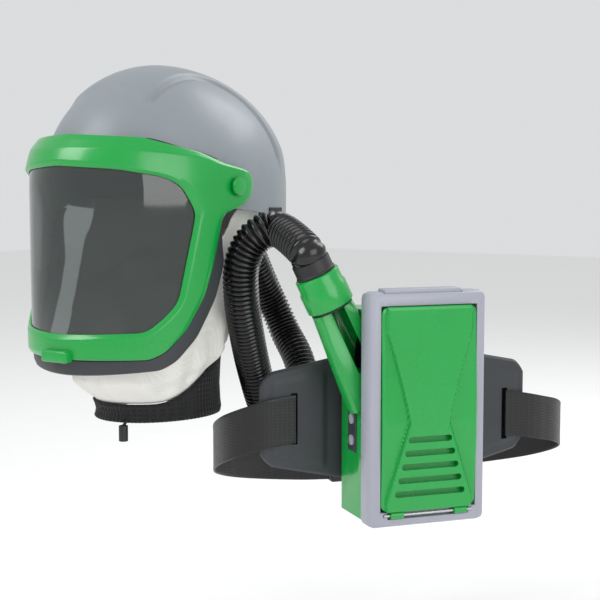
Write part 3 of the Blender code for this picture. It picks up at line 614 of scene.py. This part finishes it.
def gasket_section(angle):
    """A flat rubber ring behind the lens, round the window."""
    near = reach_of(WINDOW, CENTRE, angle)
    inner = near + 0.0005
    outer = near + 0.0055
    return [(inner, 0.0065), (outer, 0.0065), (outer, 0.0072), (inner, 0.0072)]


def lens_sheet(name):
    """The lens as one closed sheet: two grids of rays that meet at the rim and at their middles."""
    bm = bmesh.new()
    steps = 14
    sheets = []
    for inset in (LENS_FACE, LENS_FACE + LENS_THICKNESS):
        middle_vert = bm.verts.new(on_form(0, CENTRE.y, inset))
        rings = []
        for step in range(1, steps + 1):
            ring = []
            for k in range(RAYS):
                angle = 2 * pi * k / RAYS
                distance = (reach_of(WINDOW, CENTRE, angle) + LENS_OVERLAP) * step / steps
                spot = CENTRE + Vector((cos(angle), sin(angle))) * distance
                ring.append(bm.verts.new(on_form(spot.x / 0.141, spot.y, inset)))
            rings.append(ring)
        for k in range(RAYS):
            bm.faces.new((middle_vert, rings[0][k], rings[0][(k + 1) % RAYS]))
        for lower, upper in zip(rings, rings[1:]):
            for k in range(RAYS):
                bm.faces.new((lower[k], upper[k], upper[(k + 1) % RAYS], lower[(k + 1) % RAYS]))
        sheets.append(rings[-1])
    for k in range(RAYS):
        bm.faces.new((sheets[0][k], sheets[0][(k + 1) % RAYS], sheets[1][(k + 1) % RAYS], sheets[1][k]))
    bmesh.ops.recalc_face_normals(bm, faces=bm.faces)
    piece = object_of(bm, name)
    only(piece)
    bpy.ops.object.shade_smooth_by_angle(angle=radians(40))
    return piece


lens = lens_sheet("visor_lens_finished")
stand_for(lens, LENS, "visor", "visor_lens")
gasket = patch("lens_gasket_finished", gasket_section)
stand_for(gasket, RUBBER, "visor", "lens_gasket")


def jaw_section(angle):
    """The jaw frame's section: a tongue under the bezel, then a step out to a visible lip."""
    far = reach_of(BEZEL, CENTRE, angle)
    height = CENTRE.y + far * sin(angle)
    below = max(0.0, min(1.0, (-0.030 - height) / 0.045))
    lip = 0.0042 + 0.0125 * below ** 1.5
    face = 0.0030 + 0.0020 * below
    return [(far - 0.010, 0.0118), (far - 0.010, 0.0080), (far + 0.0002, 0.0080),
            (far + 0.0004, face + 0.0010), (far + 0.0014, face), (far + lip * 0.6, face + 0.0004),
            (far + lip - 0.0012, face + 0.0022), (far + lip, face + 0.0040), (far + lip, 0.0112),
            (far + lip - 0.001, 0.0120)]


JAW_FROM, JAW_TO = radians(-190.5), radians(10.5)
jaw_angles = [JAW_FROM + (JAW_TO - JAW_FROM) * k / 200 for k in range(201)]
jaw = patch("jaw_frame_finished", jaw_section, 35, jaw_angles)
stand_for(jaw, DARK_GREY, "root", "jaw_frame")

# %% [markdown]
# The hard shell is a head-shaped dome 2.6 mm thick. A raised panel runs over its crown and down its
# back, edged by a crease that is sharp at the front and opens towards the nape. A sphere is added,
# moved point by point to the head form, cut along the rim and given its wall.

# %% Helmet shell
SHELL_WALL = 0.0026
SHELL = {"half_width": 0.115, "front": 0.131, "back": 0.174, "top": 0.127}


def smooth_step(low, high, value):
    """0 below low, 1 above high, and a soft rise between."""
    t = max(0.0, min(1.0, (value - low) / (high - low)))
    return t * t * (3 - 2 * t)


def crown_edge(y):
    """Half the width of the raised crown panel at this distance back."""
    return 0.046 + 0.10 * max(0.0, -y) * 0.6 + 6.5 * max(0.0, y - 0.005) ** 2


bpy.ops.object.select_all(action='DESELECT')
bpy.ops.mesh.primitive_uv_sphere_add(segments=320, ring_count=160, radius=1)
shell = bpy.context.active_object
shell.name = "helmet_shell_finished"
for vert in shell.data.vertices:
    x, y, z = vert.co
    reach = max(hypot(x, y), 1e-9)
    swell = 1.0 if z >= 0 else sqrt(reach) / reach
    height = z * SHELL["top"] if z >= 0 else -DROP * sqrt(-z)
    length = SHELL["front"] if y < 0 else SHELL["back"]
    spot = Vector((x * swell * SHELL["half_width"], y * swell * length, height))
    outward = Vector((spot.x / SHELL["half_width"] ** 2, spot.y / length ** 2,
                      max(0.0, spot.z) / SHELL["top"] ** 2))
    panel = 1 - smooth_step(0.0, 0.0026, abs(spot.x) - crown_edge(spot.y))
    front_fade = smooth_step(-0.084, -0.070, spot.y)
    groove = 1 - smooth_step(0.0, 0.0075, abs(abs(spot.x) - crown_edge(spot.y) - 0.0045))
    low_fade = smooth_step(0.010, 0.045, spot.z)
    lift = (0.0024 * panel - 0.0026 * groove) * front_fade * low_fade
    vert.co = spot + outward.normalized() * (lift - 0.0004) + Vector((0, 0, PIVOT_HEIGHT))
shell_rim = [(-0.30, 0.050), (-0.10, 0.047), (-0.072, 0.020), (-0.052, -0.014),
             (-0.020, -0.022), (0.060, -0.030),
             (0.120, -0.037), (0.30, -0.040), (0.30, 0.30), (-0.30, 0.30)]


def side_prism(name, outline):
    """A solid with an outline in the side view, wide enough to cut through the helmet."""
    bm = bmesh.new()
    near = [bm.verts.new((-0.3, y, z + PIVOT_HEIGHT)) for y, z in outline]
    far = [bm.verts.new((0.3, y, z + PIVOT_HEIGHT)) for y, z in outline]
    bm.faces.new(near)
    bm.faces.new(list(reversed(far)))
    for k in range(len(outline)):
        following = (k + 1) % len(outline)
        bm.faces.new((near[k], far[k], far[following], near[following]))
    bmesh.ops.recalc_face_normals(bm, faces=bm.faces)
    piece = object_of(bm, name)
    return piece


def boolean(piece, tool, operation, keep_tool=False):
    """Cut or join a piece with a tool, and remove the tool."""
    modifier = piece.modifiers.new(operation, 'BOOLEAN')
    modifier.object = tool
    modifier.operation = operation
    modifier.solver = 'EXACT'
    settle(piece)
    if not keep_tool:
        bpy.data.objects.remove(tool, do_unlink=True)


bm = bmesh.new()
bm.from_mesh(shell.data)
bmesh.ops.bisect_plane(bm, geom=bm.verts[:] + bm.edges[:] + bm.faces[:], plane_co=(0, 0, -0.17),
                       plane_no=(0, 0, -1), clear_outer=True)
bm.to_mesh(shell.data)
bm.free()
wall = shell.modifiers.new("wall", 'SOLIDIFY')
wall.thickness = SHELL_WALL
wall.offset = -1
settle(shell)
boolean(shell, side_prism("rim_tool", shell_rim), 'INTERSECT')
only(shell)
bpy.ops.object.shade_smooth_by_angle(angle=radians(50))
stand_for(shell, SHELL_GREY, "root", "helmet_shell")


SEAL_TOP = [(0, 0.0514), (40, 0.0476), (66, 0.0336), (80, 0.0236)]


def seal_section(turn):
    """The brow seal's section: a lip 1.4 mm proud of the shell, just under the bezel's top edge."""
    high = between(SEAL_TOP, abs(degrees(turn)))[0]
    low = high - 0.0045
    corners = ((low, 0.0004), (low, 0.0012), (high - 0.0008, 0.0014), (high, 0.0010), (high, 0.0004))
    return [on_form(turn, height, 0, SHELL["half_width"] + out, SHELL["front"] + out,
                    SHELL["back"], SHELL["top"] + out)
            for height, out in corners]


bm = bmesh.new()
seal_rows = [[bm.verts.new(point) for point in seal_section(radians(-74 + 148 * k / 100))]
             for k in range(101)]
for first, last in zip(seal_rows, seal_rows[1:]):
    for k in range(5):
        bm.faces.new((first[k], first[(k + 1) % 5], last[(k + 1) % 5], last[k]))
bm.faces.new(seal_rows[0])
bm.faces.new(seal_rows[-1])
bmesh.ops.recalc_face_normals(bm, faces=bm.faces)
seal = object_of(bm, "brow_seal_finished")
only(seal)
bpy.ops.object.shade_smooth_by_angle(angle=radians(40))
stand_for(seal, RUBBER, "root", "brow_seal")
print("shell faces", len(shell.data.polygons))

# %% [markdown]
# Two moulded clips hook over the shell's rim and hold the edge of the cape under it.

# %% Rim clips
for sign, word in ((-1, "right"), (1, "left")):
    blocks = [(0.1030, 0.1110, -0.1580, -0.1345), (0.1078, 0.1110, -0.1360, -0.1225)]
    halves = []
    for near_x, far_x, low, high in blocks:
        bpy.ops.object.select_all(action='DESELECT')
        bpy.ops.mesh.primitive_cube_add(
            size=1, location=(sign * (near_x + far_x) / 2, 0.063, (low + high) / 2))
        block = bpy.context.active_object
        block.scale = (far_x - near_x, 0.022, high - low)
        bpy.ops.object.transform_apply(location=True, scale=True)
        halves.append(block)
    boolean(halves[0], halves[1], 'UNION')
    clip = halves[0]
    clip.name = f"rim_clip_{word}_finished"
    edge = clip.modifiers.new("edge", 'BEVEL')
    edge.width = 0.0009
    edge.segments = 3
    edge.limit_method = 'ANGLE'
    settle(clip)
    bpy.ops.object.shade_smooth_by_angle(angle=radians(35))
    stand_for(clip, BLACK, "root", f"rim_clip_{word}")

# %% [markdown]
# The cape is one continuous sheet of coated cloth. It hangs from the shell's rim and the jaw frame
# and is gathered into the knitted cuff. Gathers are soft folds that deepen towards the neck; slack
# near the jaw falls in broad, slanting waves. Both are sums of sines in the angle round the neck.

# %% Face cape
CAPE_LEVELS = [(0.0, 0.1085, 0.1273, 0.1243), (0.12, 0.1010, 0.1265, 0.1210), (0.28, 0.0985, 0.1260, 0.1120),
               (0.52, 0.0900, 0.1270, 0.0960), (0.72, 0.0860, 0.1250, 0.0820), (0.88, 0.0800, 0.1120, 0.0740),
               (0.96, 0.0690, 0.0920, 0.0700), (1.0, 0.0630, 0.0830, 0.0690)]
CAPE_TOP = -0.014
CAPE_BOTTOM = -0.2255
CAPE_WALL = 0.0012
FACE_EDGE = [(-0.014, 0.010), (-0.042, -0.004), (-0.060, -0.018), (-0.140, -0.058), (-0.166, -0.082)]


def share_down(height):
    """How far down the cape a height is, from 0 at its top to 1 at the cuff."""
    return (CAPE_TOP - height) / (CAPE_TOP - CAPE_BOTTOM)


def hem(turn):
    """Height of the cape's lower edge: low at the chin, higher at the nape."""
    return CAPE_BOTTOM + 0.046 * smooth_step(-0.75, 0.55, sin(turn))


def fold(turn, height):
    """How far the cloth stands in or out: gathers near the cuff, slack waves above."""
    down = share_down(height)
    gather = 0.0024 * smooth_step(0.60, 1.0, down) * sin(19 * turn + 2.0 * sin(3 * turn))
    slack = 0.0034 * sin(4 * turn + 8 * down + 1.3 * sin(2 * turn)) * smooth_step(0.30, 0.65, down)
    crumple = 0.0020 * sin(9 * turn - 13 * down) * sin(15 * down + 3 * turn) * smooth_step(0.25, 0.55, down)
    return (gather + slack + crumple) * (1 - smooth_step(0.93, 1.0, down)) - 0.0022


TURNS, ROWS = 240, 70
bm = bmesh.new()
grid, squeezed = [], set()
for row in range(ROWS + 1):
    half_width, front, back = between(CAPE_LEVELS, row / ROWS)
    ring = []
    for k in range(TURNS):
        turn = -pi / 2 + 2 * pi * k / TURNS
        height = CAPE_TOP + (hem(turn) - CAPE_TOP) * row / ROWS
        edge = between(FACE_EDGE, height)[0] if height > -0.170 else -1.0
        length = front if sin(turn) < 0 else back
        x, y = half_width * cos(turn), length * sin(turn)
        out = 1 + fold(turn, CAPE_TOP + (CAPE_BOTTOM - CAPE_TOP) * row / ROWS) / hypot(x, y)
        x, y = x * out, y * out
        vert = bm.verts.new((x, y, height + PIVOT_HEIGHT))
        if y < edge:
            share = sqrt(max(0.0, 1 - (edge / front) ** 2))
            hand = 1 if k < TURNS / 2 else -1
            vert.co = ((half_width - 0.0022) * share * hand, edge, height + PIVOT_HEIGHT)
            squeezed.add(vert)
        ring.append(vert)
    grid.append(ring)
for upper, lower in zip(grid, grid[1:]):
    for k in range(TURNS):
        corners = (upper[k], lower[k], lower[(k + 1) % TURNS], upper[(k + 1) % TURNS])
        if not all(corner in squeezed for corner in corners):
            bm.faces.new(corners)
loose = [vert for vert in bm.verts if not vert.link_faces]
bmesh.ops.delete(bm, geom=loose, context='VERTS')
bmesh.ops.remove_doubles(bm, verts=bm.verts, dist=0.00002)
bmesh.ops.recalc_face_normals(bm, faces=bm.faces)
cloth_area = sum(face.calc_area() for face in bm.faces)
cape = object_of(bm, "face_cape_finished")
wall = cape.modifiers.new("cloth", 'SOLIDIFY')
wall.thickness = CAPE_WALL
wall.offset = -1
settle(cape)
only(cape)
bpy.ops.object.shade_smooth()
stand_for(cape, CLOTH, "root", "face_cape")

# %% [markdown]
# The cuff is rib knit: fine upright ridges, here 96 of them round the neck, drawn in a little at
# the middle by its elastic and rolled at the lower edge.

# %% Neck cuff
bm = bmesh.new()
cuff_rows = [
    (-0.2266, 0.0640, 0.0838, 0.0698), (-0.2300, 0.0632, 0.0818, 0.0688),
    (-0.2370, 0.0622, 0.0792, 0.0674), (-0.2420, 0.0630, 0.0800, 0.0680),
    (-0.2445, 0.0640, 0.0810, 0.0690), (-0.2460, 0.0630, 0.0800, 0.0680),
    (-0.2450, 0.0608, 0.0780, 0.0658), (-0.2370, 0.0588, 0.0760, 0.0640),
    (-0.2266, 0.0600, 0.0796, 0.0656),
]
RIBS = 96
rings = []
for height, half_width, front, back in cuff_rows:
    ring = []
    for k in range(RIBS * 4):
        turn = 2 * pi * k / (RIBS * 4)
        ridge = -0.0005 + 0.0005 * cos(RIBS * turn)
        length = front if sin(turn) < 0 else back
        top_share = min(1.0, (height + 0.2460) / 0.0194)
        ring.append(bm.verts.new(((half_width + ridge) * cos(turn), (length + ridge) * sin(turn),
                                  height + (hem(turn) - CAPE_BOTTOM) * top_share + PIVOT_HEIGHT)))
    rings.append(ring)
for lower, upper in zip(rings, rings[1:] + rings[:1]):
    for k in range(len(lower)):
        bm.faces.new((lower[k], lower[(k + 1) % len(lower)], upper[(k + 1) % len(lower)], upper[k]))
bmesh.ops.recalc_face_normals(bm, faces=bm.faces)
cuff = object_of(bm, "neck_cuff_finished")
only(cuff)
bpy.ops.object.shade_smooth()
stand_for(cuff, KNIT, "root", "neck_cuff")
bpy.ops.object.select_all(action='DESELECT')
tab_start, tab_end = Vector((0.0195, -0.0760, -0.3430)), Vector((0.0200, -0.0825, -0.3478))
bpy.ops.mesh.primitive_cylinder_add(vertices=20, radius=0.0016, depth=(tab_end - tab_start).length)
toggle_tab = bpy.context.active_object
toggle_tab.data.transform(Matrix.Translation((tab_start + tab_end) / 2)
                          @ (tab_end - tab_start).to_track_quat('Z', 'Y').to_matrix().to_4x4())
toggle_tab.name = "toggle_tab"
bpy.ops.object.shade_smooth_by_angle(angle=radians(40))
dress(toggle_tab, BLACK)
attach(toggle_tab, "root")

# %% [markdown]
# The filter cover is a rounded green plate. Its face is folded like a funnel: a centre panel that
# narrows to a waist and widens again over the louvres, with sloping facets on both sides. It is
# modelled flat on a fine grid in the blower's own axes, cut by five rounded louvres, then turned.

# %% Filter cover
COVER_HALF, COVER_LOW, COVER_HIGH = 0.0518, -0.1003, 0.1048


def panel_half(z):
    """Half the width of the centre panel at a height."""
    waist = -0.012
    if z > waist:
        return 0.021 + (0.0455 - 0.021) * min(1.0, (z - waist) / 0.092) ** 1.15
    return 0.021 + (0.046 - 0.021) * min(1.0, (waist - z) / 0.078)


def cover_face(x, z):
    """How far the cover's face stands back from its foremost plane."""
    slope = smooth_step(0.0, 0.0020, abs(x) - panel_half(z))
    valley = 0.0042 * slope * (1 - min(1.0, max(0.0, abs(x) - panel_half(z)) / 0.026))
    inset_x = COVER_HALF - abs(x)
    inset_z = min(z - COVER_LOW, COVER_HIGH - z)
    corner = 0.008
    if inset_x < corner and inset_z < corner:
        inset = corner - hypot(corner - inset_x, corner - inset_z)
    else:
        inset = min(inset_x, inset_z)
    return valley + 0.0012 * (1 - smooth_step(0.0, 0.0020, inset))


def blower_frame(point):
    """A point of the blower's own axes in the object's frame."""
    return blower_place + blower_turn @ Vector(point)


def corner_pulled(x, z):
    """Pull the plate's square corners in to a radius."""
    radius = 0.008
    over_x = abs(x) - (COVER_HALF - radius)
    over_z = max(z - (COVER_HIGH - radius), (COVER_LOW + radius) - z)
    if over_x > 0 and over_z > 0:
        size = max(over_x, over_z)
        scale = size / hypot(over_x, over_z)
        return (x - (over_x - over_x * scale) * (1 if x > 0 else -1),
                z - (over_z - over_z * scale) * (1 if z > 0 else -1))
    return x, z


ACROSS, UPWARDS = 78, 150
bm = bmesh.new()
front, behind = [], []
for row in range(UPWARDS + 1):
    z0 = COVER_LOW + (COVER_HIGH - COVER_LOW) * row / UPWARDS
    front.append([])
    behind.append([])
    for k in range(ACROSS + 1):
        x0 = -COVER_HALF + 2 * COVER_HALF * k / ACROSS
        x, z = corner_pulled(x0, z0)
        front[-1].append(bm.verts.new((x, -0.0040 + cover_face(x, z), z)))
        behind[-1].append(bm.verts.new((x, 0.0058, z)))
for row in range(UPWARDS):
    for k in range(ACROSS):
        bm.faces.new((front[row][k], front[row][k + 1], front[row + 1][k + 1], front[row + 1][k]))
        bm.faces.new((behind[row][k], behind[row + 1][k], behind[row + 1][k + 1], behind[row][k + 1]))
border = ([(0, k) for k in range(ACROSS)] + [(row, ACROSS) for row in range(UPWARDS)]
          + [(UPWARDS, k) for k in range(ACROSS, 0, -1)] + [(row, 0) for row in range(UPWARDS, 0, -1)])
for (r1, k1), (r2, k2) in zip(border, border[1:] + border[:1]):
    bm.faces.new((front[r1][k1], behind[r1][k1], behind[r2][k2], front[r2][k2]))
bmesh.ops.recalc_face_normals(bm, faces=bm.faces)
cover = object_of(bm, "filter_cover_finished")


def louvre_tool(half, height, thick):
    """A slot cutter with rounded ends, upright through the cover's face."""
    bpy.ops.object.select_all(action='DESELECT')
    bpy.ops.mesh.primitive_cube_add(size=1, location=(0, -0.003, height))
    tool = bpy.context.active_object
    tool.scale = (2 * half, 0.013, thick)
    bpy.ops.object.transform_apply(location=False, rotation=False, scale=True)
    ends = tool.modifiers.new("ends", 'BEVEL')
    ends.width = thick * 0.499
    ends.segments = 6
    weights = tool.data.attributes.new("bevel_weight_edge", 'FLOAT', 'EDGE')
    for edge in tool.data.edges:
        a, b = (tool.data.vertices[index].co for index in edge.vertices)
        weights.data[edge.index].value = 1.0 if abs(a.y - b.y) > 0.001 else 0.0
    ends.limit_method = 'WEIGHT'
    settle(tool)
    return tool


for index in range(5):
    half = 0.0240 + 0.0036 * index
    boolean(cover, louvre_tool(half, -0.0285 - 0.0135 * index, 0.0062), 'DIFFERENCE')
for sign in (-1, 1):
    bpy.ops.object.select_all(action='DESELECT')
    bpy.ops.mesh.primitive_cylinder_add(vertices=32, radius=0.0037, depth=0.014,
                                        location=(sign * 0.035, 0, -0.104), rotation=(0, pi / 2, 0))
    boolean(cover, bpy.context.active_object, 'UNION')
for vert in cover.data.vertices:
    vert.co = blower_frame(vert.co)
only(cover)
bpy.ops.object.shade_smooth_by_angle(angle=radians(24))
stand_for(cover, GREEN, "cover", "filter_cover")
print("cover faces", len(cover.data.polygons))

# %% [markdown]
# Webbing is a flat strip that stands on edge. Its two edges are thicker, because the weft turns
# back there. Both strips follow the belt's route.

# %% Belt webbing
WEB_WIDTH = 0.050


def strap(name, points, body, node):
    """A strip of webbing along a route, with thick edges."""
    spine = smooth_line([Vector(point) for point in points], 0.004)
    across = [0.0, 0.02, 0.05, 0.10, 0.3, 0.5, 0.7, 0.90, 0.95, 0.98, 1.0]
    thick = [0.0007, 0.0011, 0.0011, 0.0009, 0.0009, 0.0009, 0.0009, 0.0009, 0.0011, 0.0011, 0.0007]
    bm = bmesh.new()
    loops = []
    for index, point in enumerate(spine):
        way = (spine[min(index + 1, len(spine) - 1)] - spine[max(index - 1, 0)]).normalized()
        out = way.cross(Vector((0, 0, 1))).normalized()
        rise = Vector((0, 0, 1))
        ring = []
        for side, order in ((1, range(len(across))), (-1, range(len(across) - 1, -1, -1))):
            for k in order:
                spot = point + rise * (across[k] - 0.5) * WEB_WIDTH + out * side * thick[k]
                ring.append(bm.verts.new(blower_frame(spot)))
        loops.append(ring)
    for first, last in zip(loops, loops[1:]):
        for k in range(len(first)):
            bm.faces.new((first[k], first[(k + 1) % len(first)], last[(k + 1) % len(first)], last[k]))
    bm.faces.new(list(reversed(loops[0])))
    bm.faces.new(loops[-1])
    bmesh.ops.recalc_face_normals(bm, faces=bm.faces)
    piece = object_of(bm, name)
    only(piece)
    bpy.ops.object.shade_smooth_by_angle(angle=radians(50))
    stand_for(piece, WEBBING, body, node)
    return piece


left_route = [(-0.1090, 0.0915, -0.0180), (-0.1250, 0.0925, -0.0200), (-0.1420, 0.0945, -0.0230),
              (-0.1590, 0.1030, -0.0290), (-0.1710, 0.1200, -0.0370), (-0.1755, 0.1430, -0.0460),
              (-0.1730, 0.1740, -0.0580), (-0.1600, 0.2080, -0.0710), (-0.1300, 0.2450, -0.0850),
              (-0.0850, 0.2750, -0.0970), (-0.0300, 0.2920, -0.1060), (0.0080, 0.2960, -0.1090)]
right_route = [(0.1385, 0.0945, -0.0270), (0.1550, 0.0960, -0.0290), (0.1710, 0.0983, -0.0320),
               (0.1920, 0.1055, -0.0370), (0.2180, 0.1200, -0.0440), (0.2370, 0.1430, -0.0540),
               (0.2430, 0.1740, -0.0660), (0.2330, 0.2100, -0.0790), (0.2060, 0.2440, -0.0900),
               (0.1660, 0.2720, -0.0990), (0.1150, 0.2900, -0.1060), (0.0820, 0.2950, -0.1090)]
strap("belt_left_finished", left_route, "root", "belt_left")
strap("belt_right_finished", right_route, "root", "belt_right")

# %% [markdown]
# The belt pad is one moulding, 8 mm thick, with rounded edges and a raised panel on each wing.

# %% Belt pad


def pad_outline(x):
    """Top and bottom of the pad at a distance along it."""
    share = (x - 0.0105) / 0.1555
    taper = max(0.0, (abs(share) - 0.45) / 0.55)
    corner = max(0.0, (abs(share) - 0.90) / 0.10) ** 2 * 0.012
    return 0.046 - 0.017 * taper - corner, -0.084 + 0.018 * taper + corner


bm = bmesh.new()
columns, levels_up = 124, 40
faces_front, faces_back = [], []
for column in range(columns + 1):
    x = -0.145 + 0.311 * column / columns
    top, bottom = pad_outline(x)
    bend = max(0.0, abs(x) - 0.035)
    middle_y = 0.0945 + 0.60 * bend * bend
    faces_front.append([])
    faces_back.append([])
    for level in range(levels_up + 1):
        z = bottom + (top - bottom) * level / levels_up
        rim = min(x + 0.145, 0.166 - x, z - bottom, top - z)
        edge = 0.0026 * (1 - sqrt(max(0.0, 1 - (1 - min(1.0, rim / 0.0035)) ** 2)))
        panel = 0.0016 * smooth_step(0.0105, 0.0135, rim) * smooth_step(0.078, 0.082, abs(x - 0.004))
        faces_front[-1].append(bm.verts.new((x, middle_y - 0.0036 + edge - panel + 0.0012, z)))
        faces_back[-1].append(bm.verts.new((x, middle_y + 0.0040 - edge, z)))
for column in range(columns):
    for level in range(levels_up):
        bm.faces.new((faces_front[column][level], faces_front[column + 1][level],
                      faces_front[column + 1][level + 1], faces_front[column][level + 1]))
        bm.faces.new((faces_back[column][level], faces_back[column][level + 1],
                      faces_back[column + 1][level + 1], faces_back[column + 1][level]))
rim_path = ([(c, 0) for c in range(columns)] + [(columns, v) for v in range(levels_up)]
            + [(c, levels_up) for c in range(columns, 0, -1)] + [(0, v) for v in range(levels_up, 0, -1)])
for (c1, v1), (c2, v2) in zip(rim_path, rim_path[1:] + rim_path[:1]):
    bm.faces.new((faces_front[c1][v1], faces_back[c1][v1], faces_back[c2][v2], faces_front[c2][v2]))
bmesh.ops.recalc_face_normals(bm, faces=bm.faces)
pad = object_of(bm, "belt_pad_finished")
belt_slots = (
    ((-0.1130, 0.08, -0.0450), (-0.1060, 0.13, 0.0090)),
    ((0.1350, 0.08, -0.0560), (0.1420, 0.13, 0.0010)),
)
for low, high in belt_slots:
    bpy.ops.object.select_all(action='DESELECT')
    bpy.ops.mesh.primitive_cube_add(size=1, location=(Vector(low) + Vector(high)) / 2)
    slot_tool = bpy.context.active_object
    slot_tool.scale = Vector(high) - Vector(low)
    bpy.ops.object.transform_apply(location=True, scale=True)
    boolean(pad, slot_tool, 'DIFFERENCE')
for vert in pad.data.vertices:
    vert.co = blower_frame(vert.co)
only(pad)
bpy.ops.object.shade_smooth_by_angle(angle=radians(40))
stand_for(pad, DARK_GREY, "root", "belt_pad")
print("pad faces", len(pad.data.polygons))
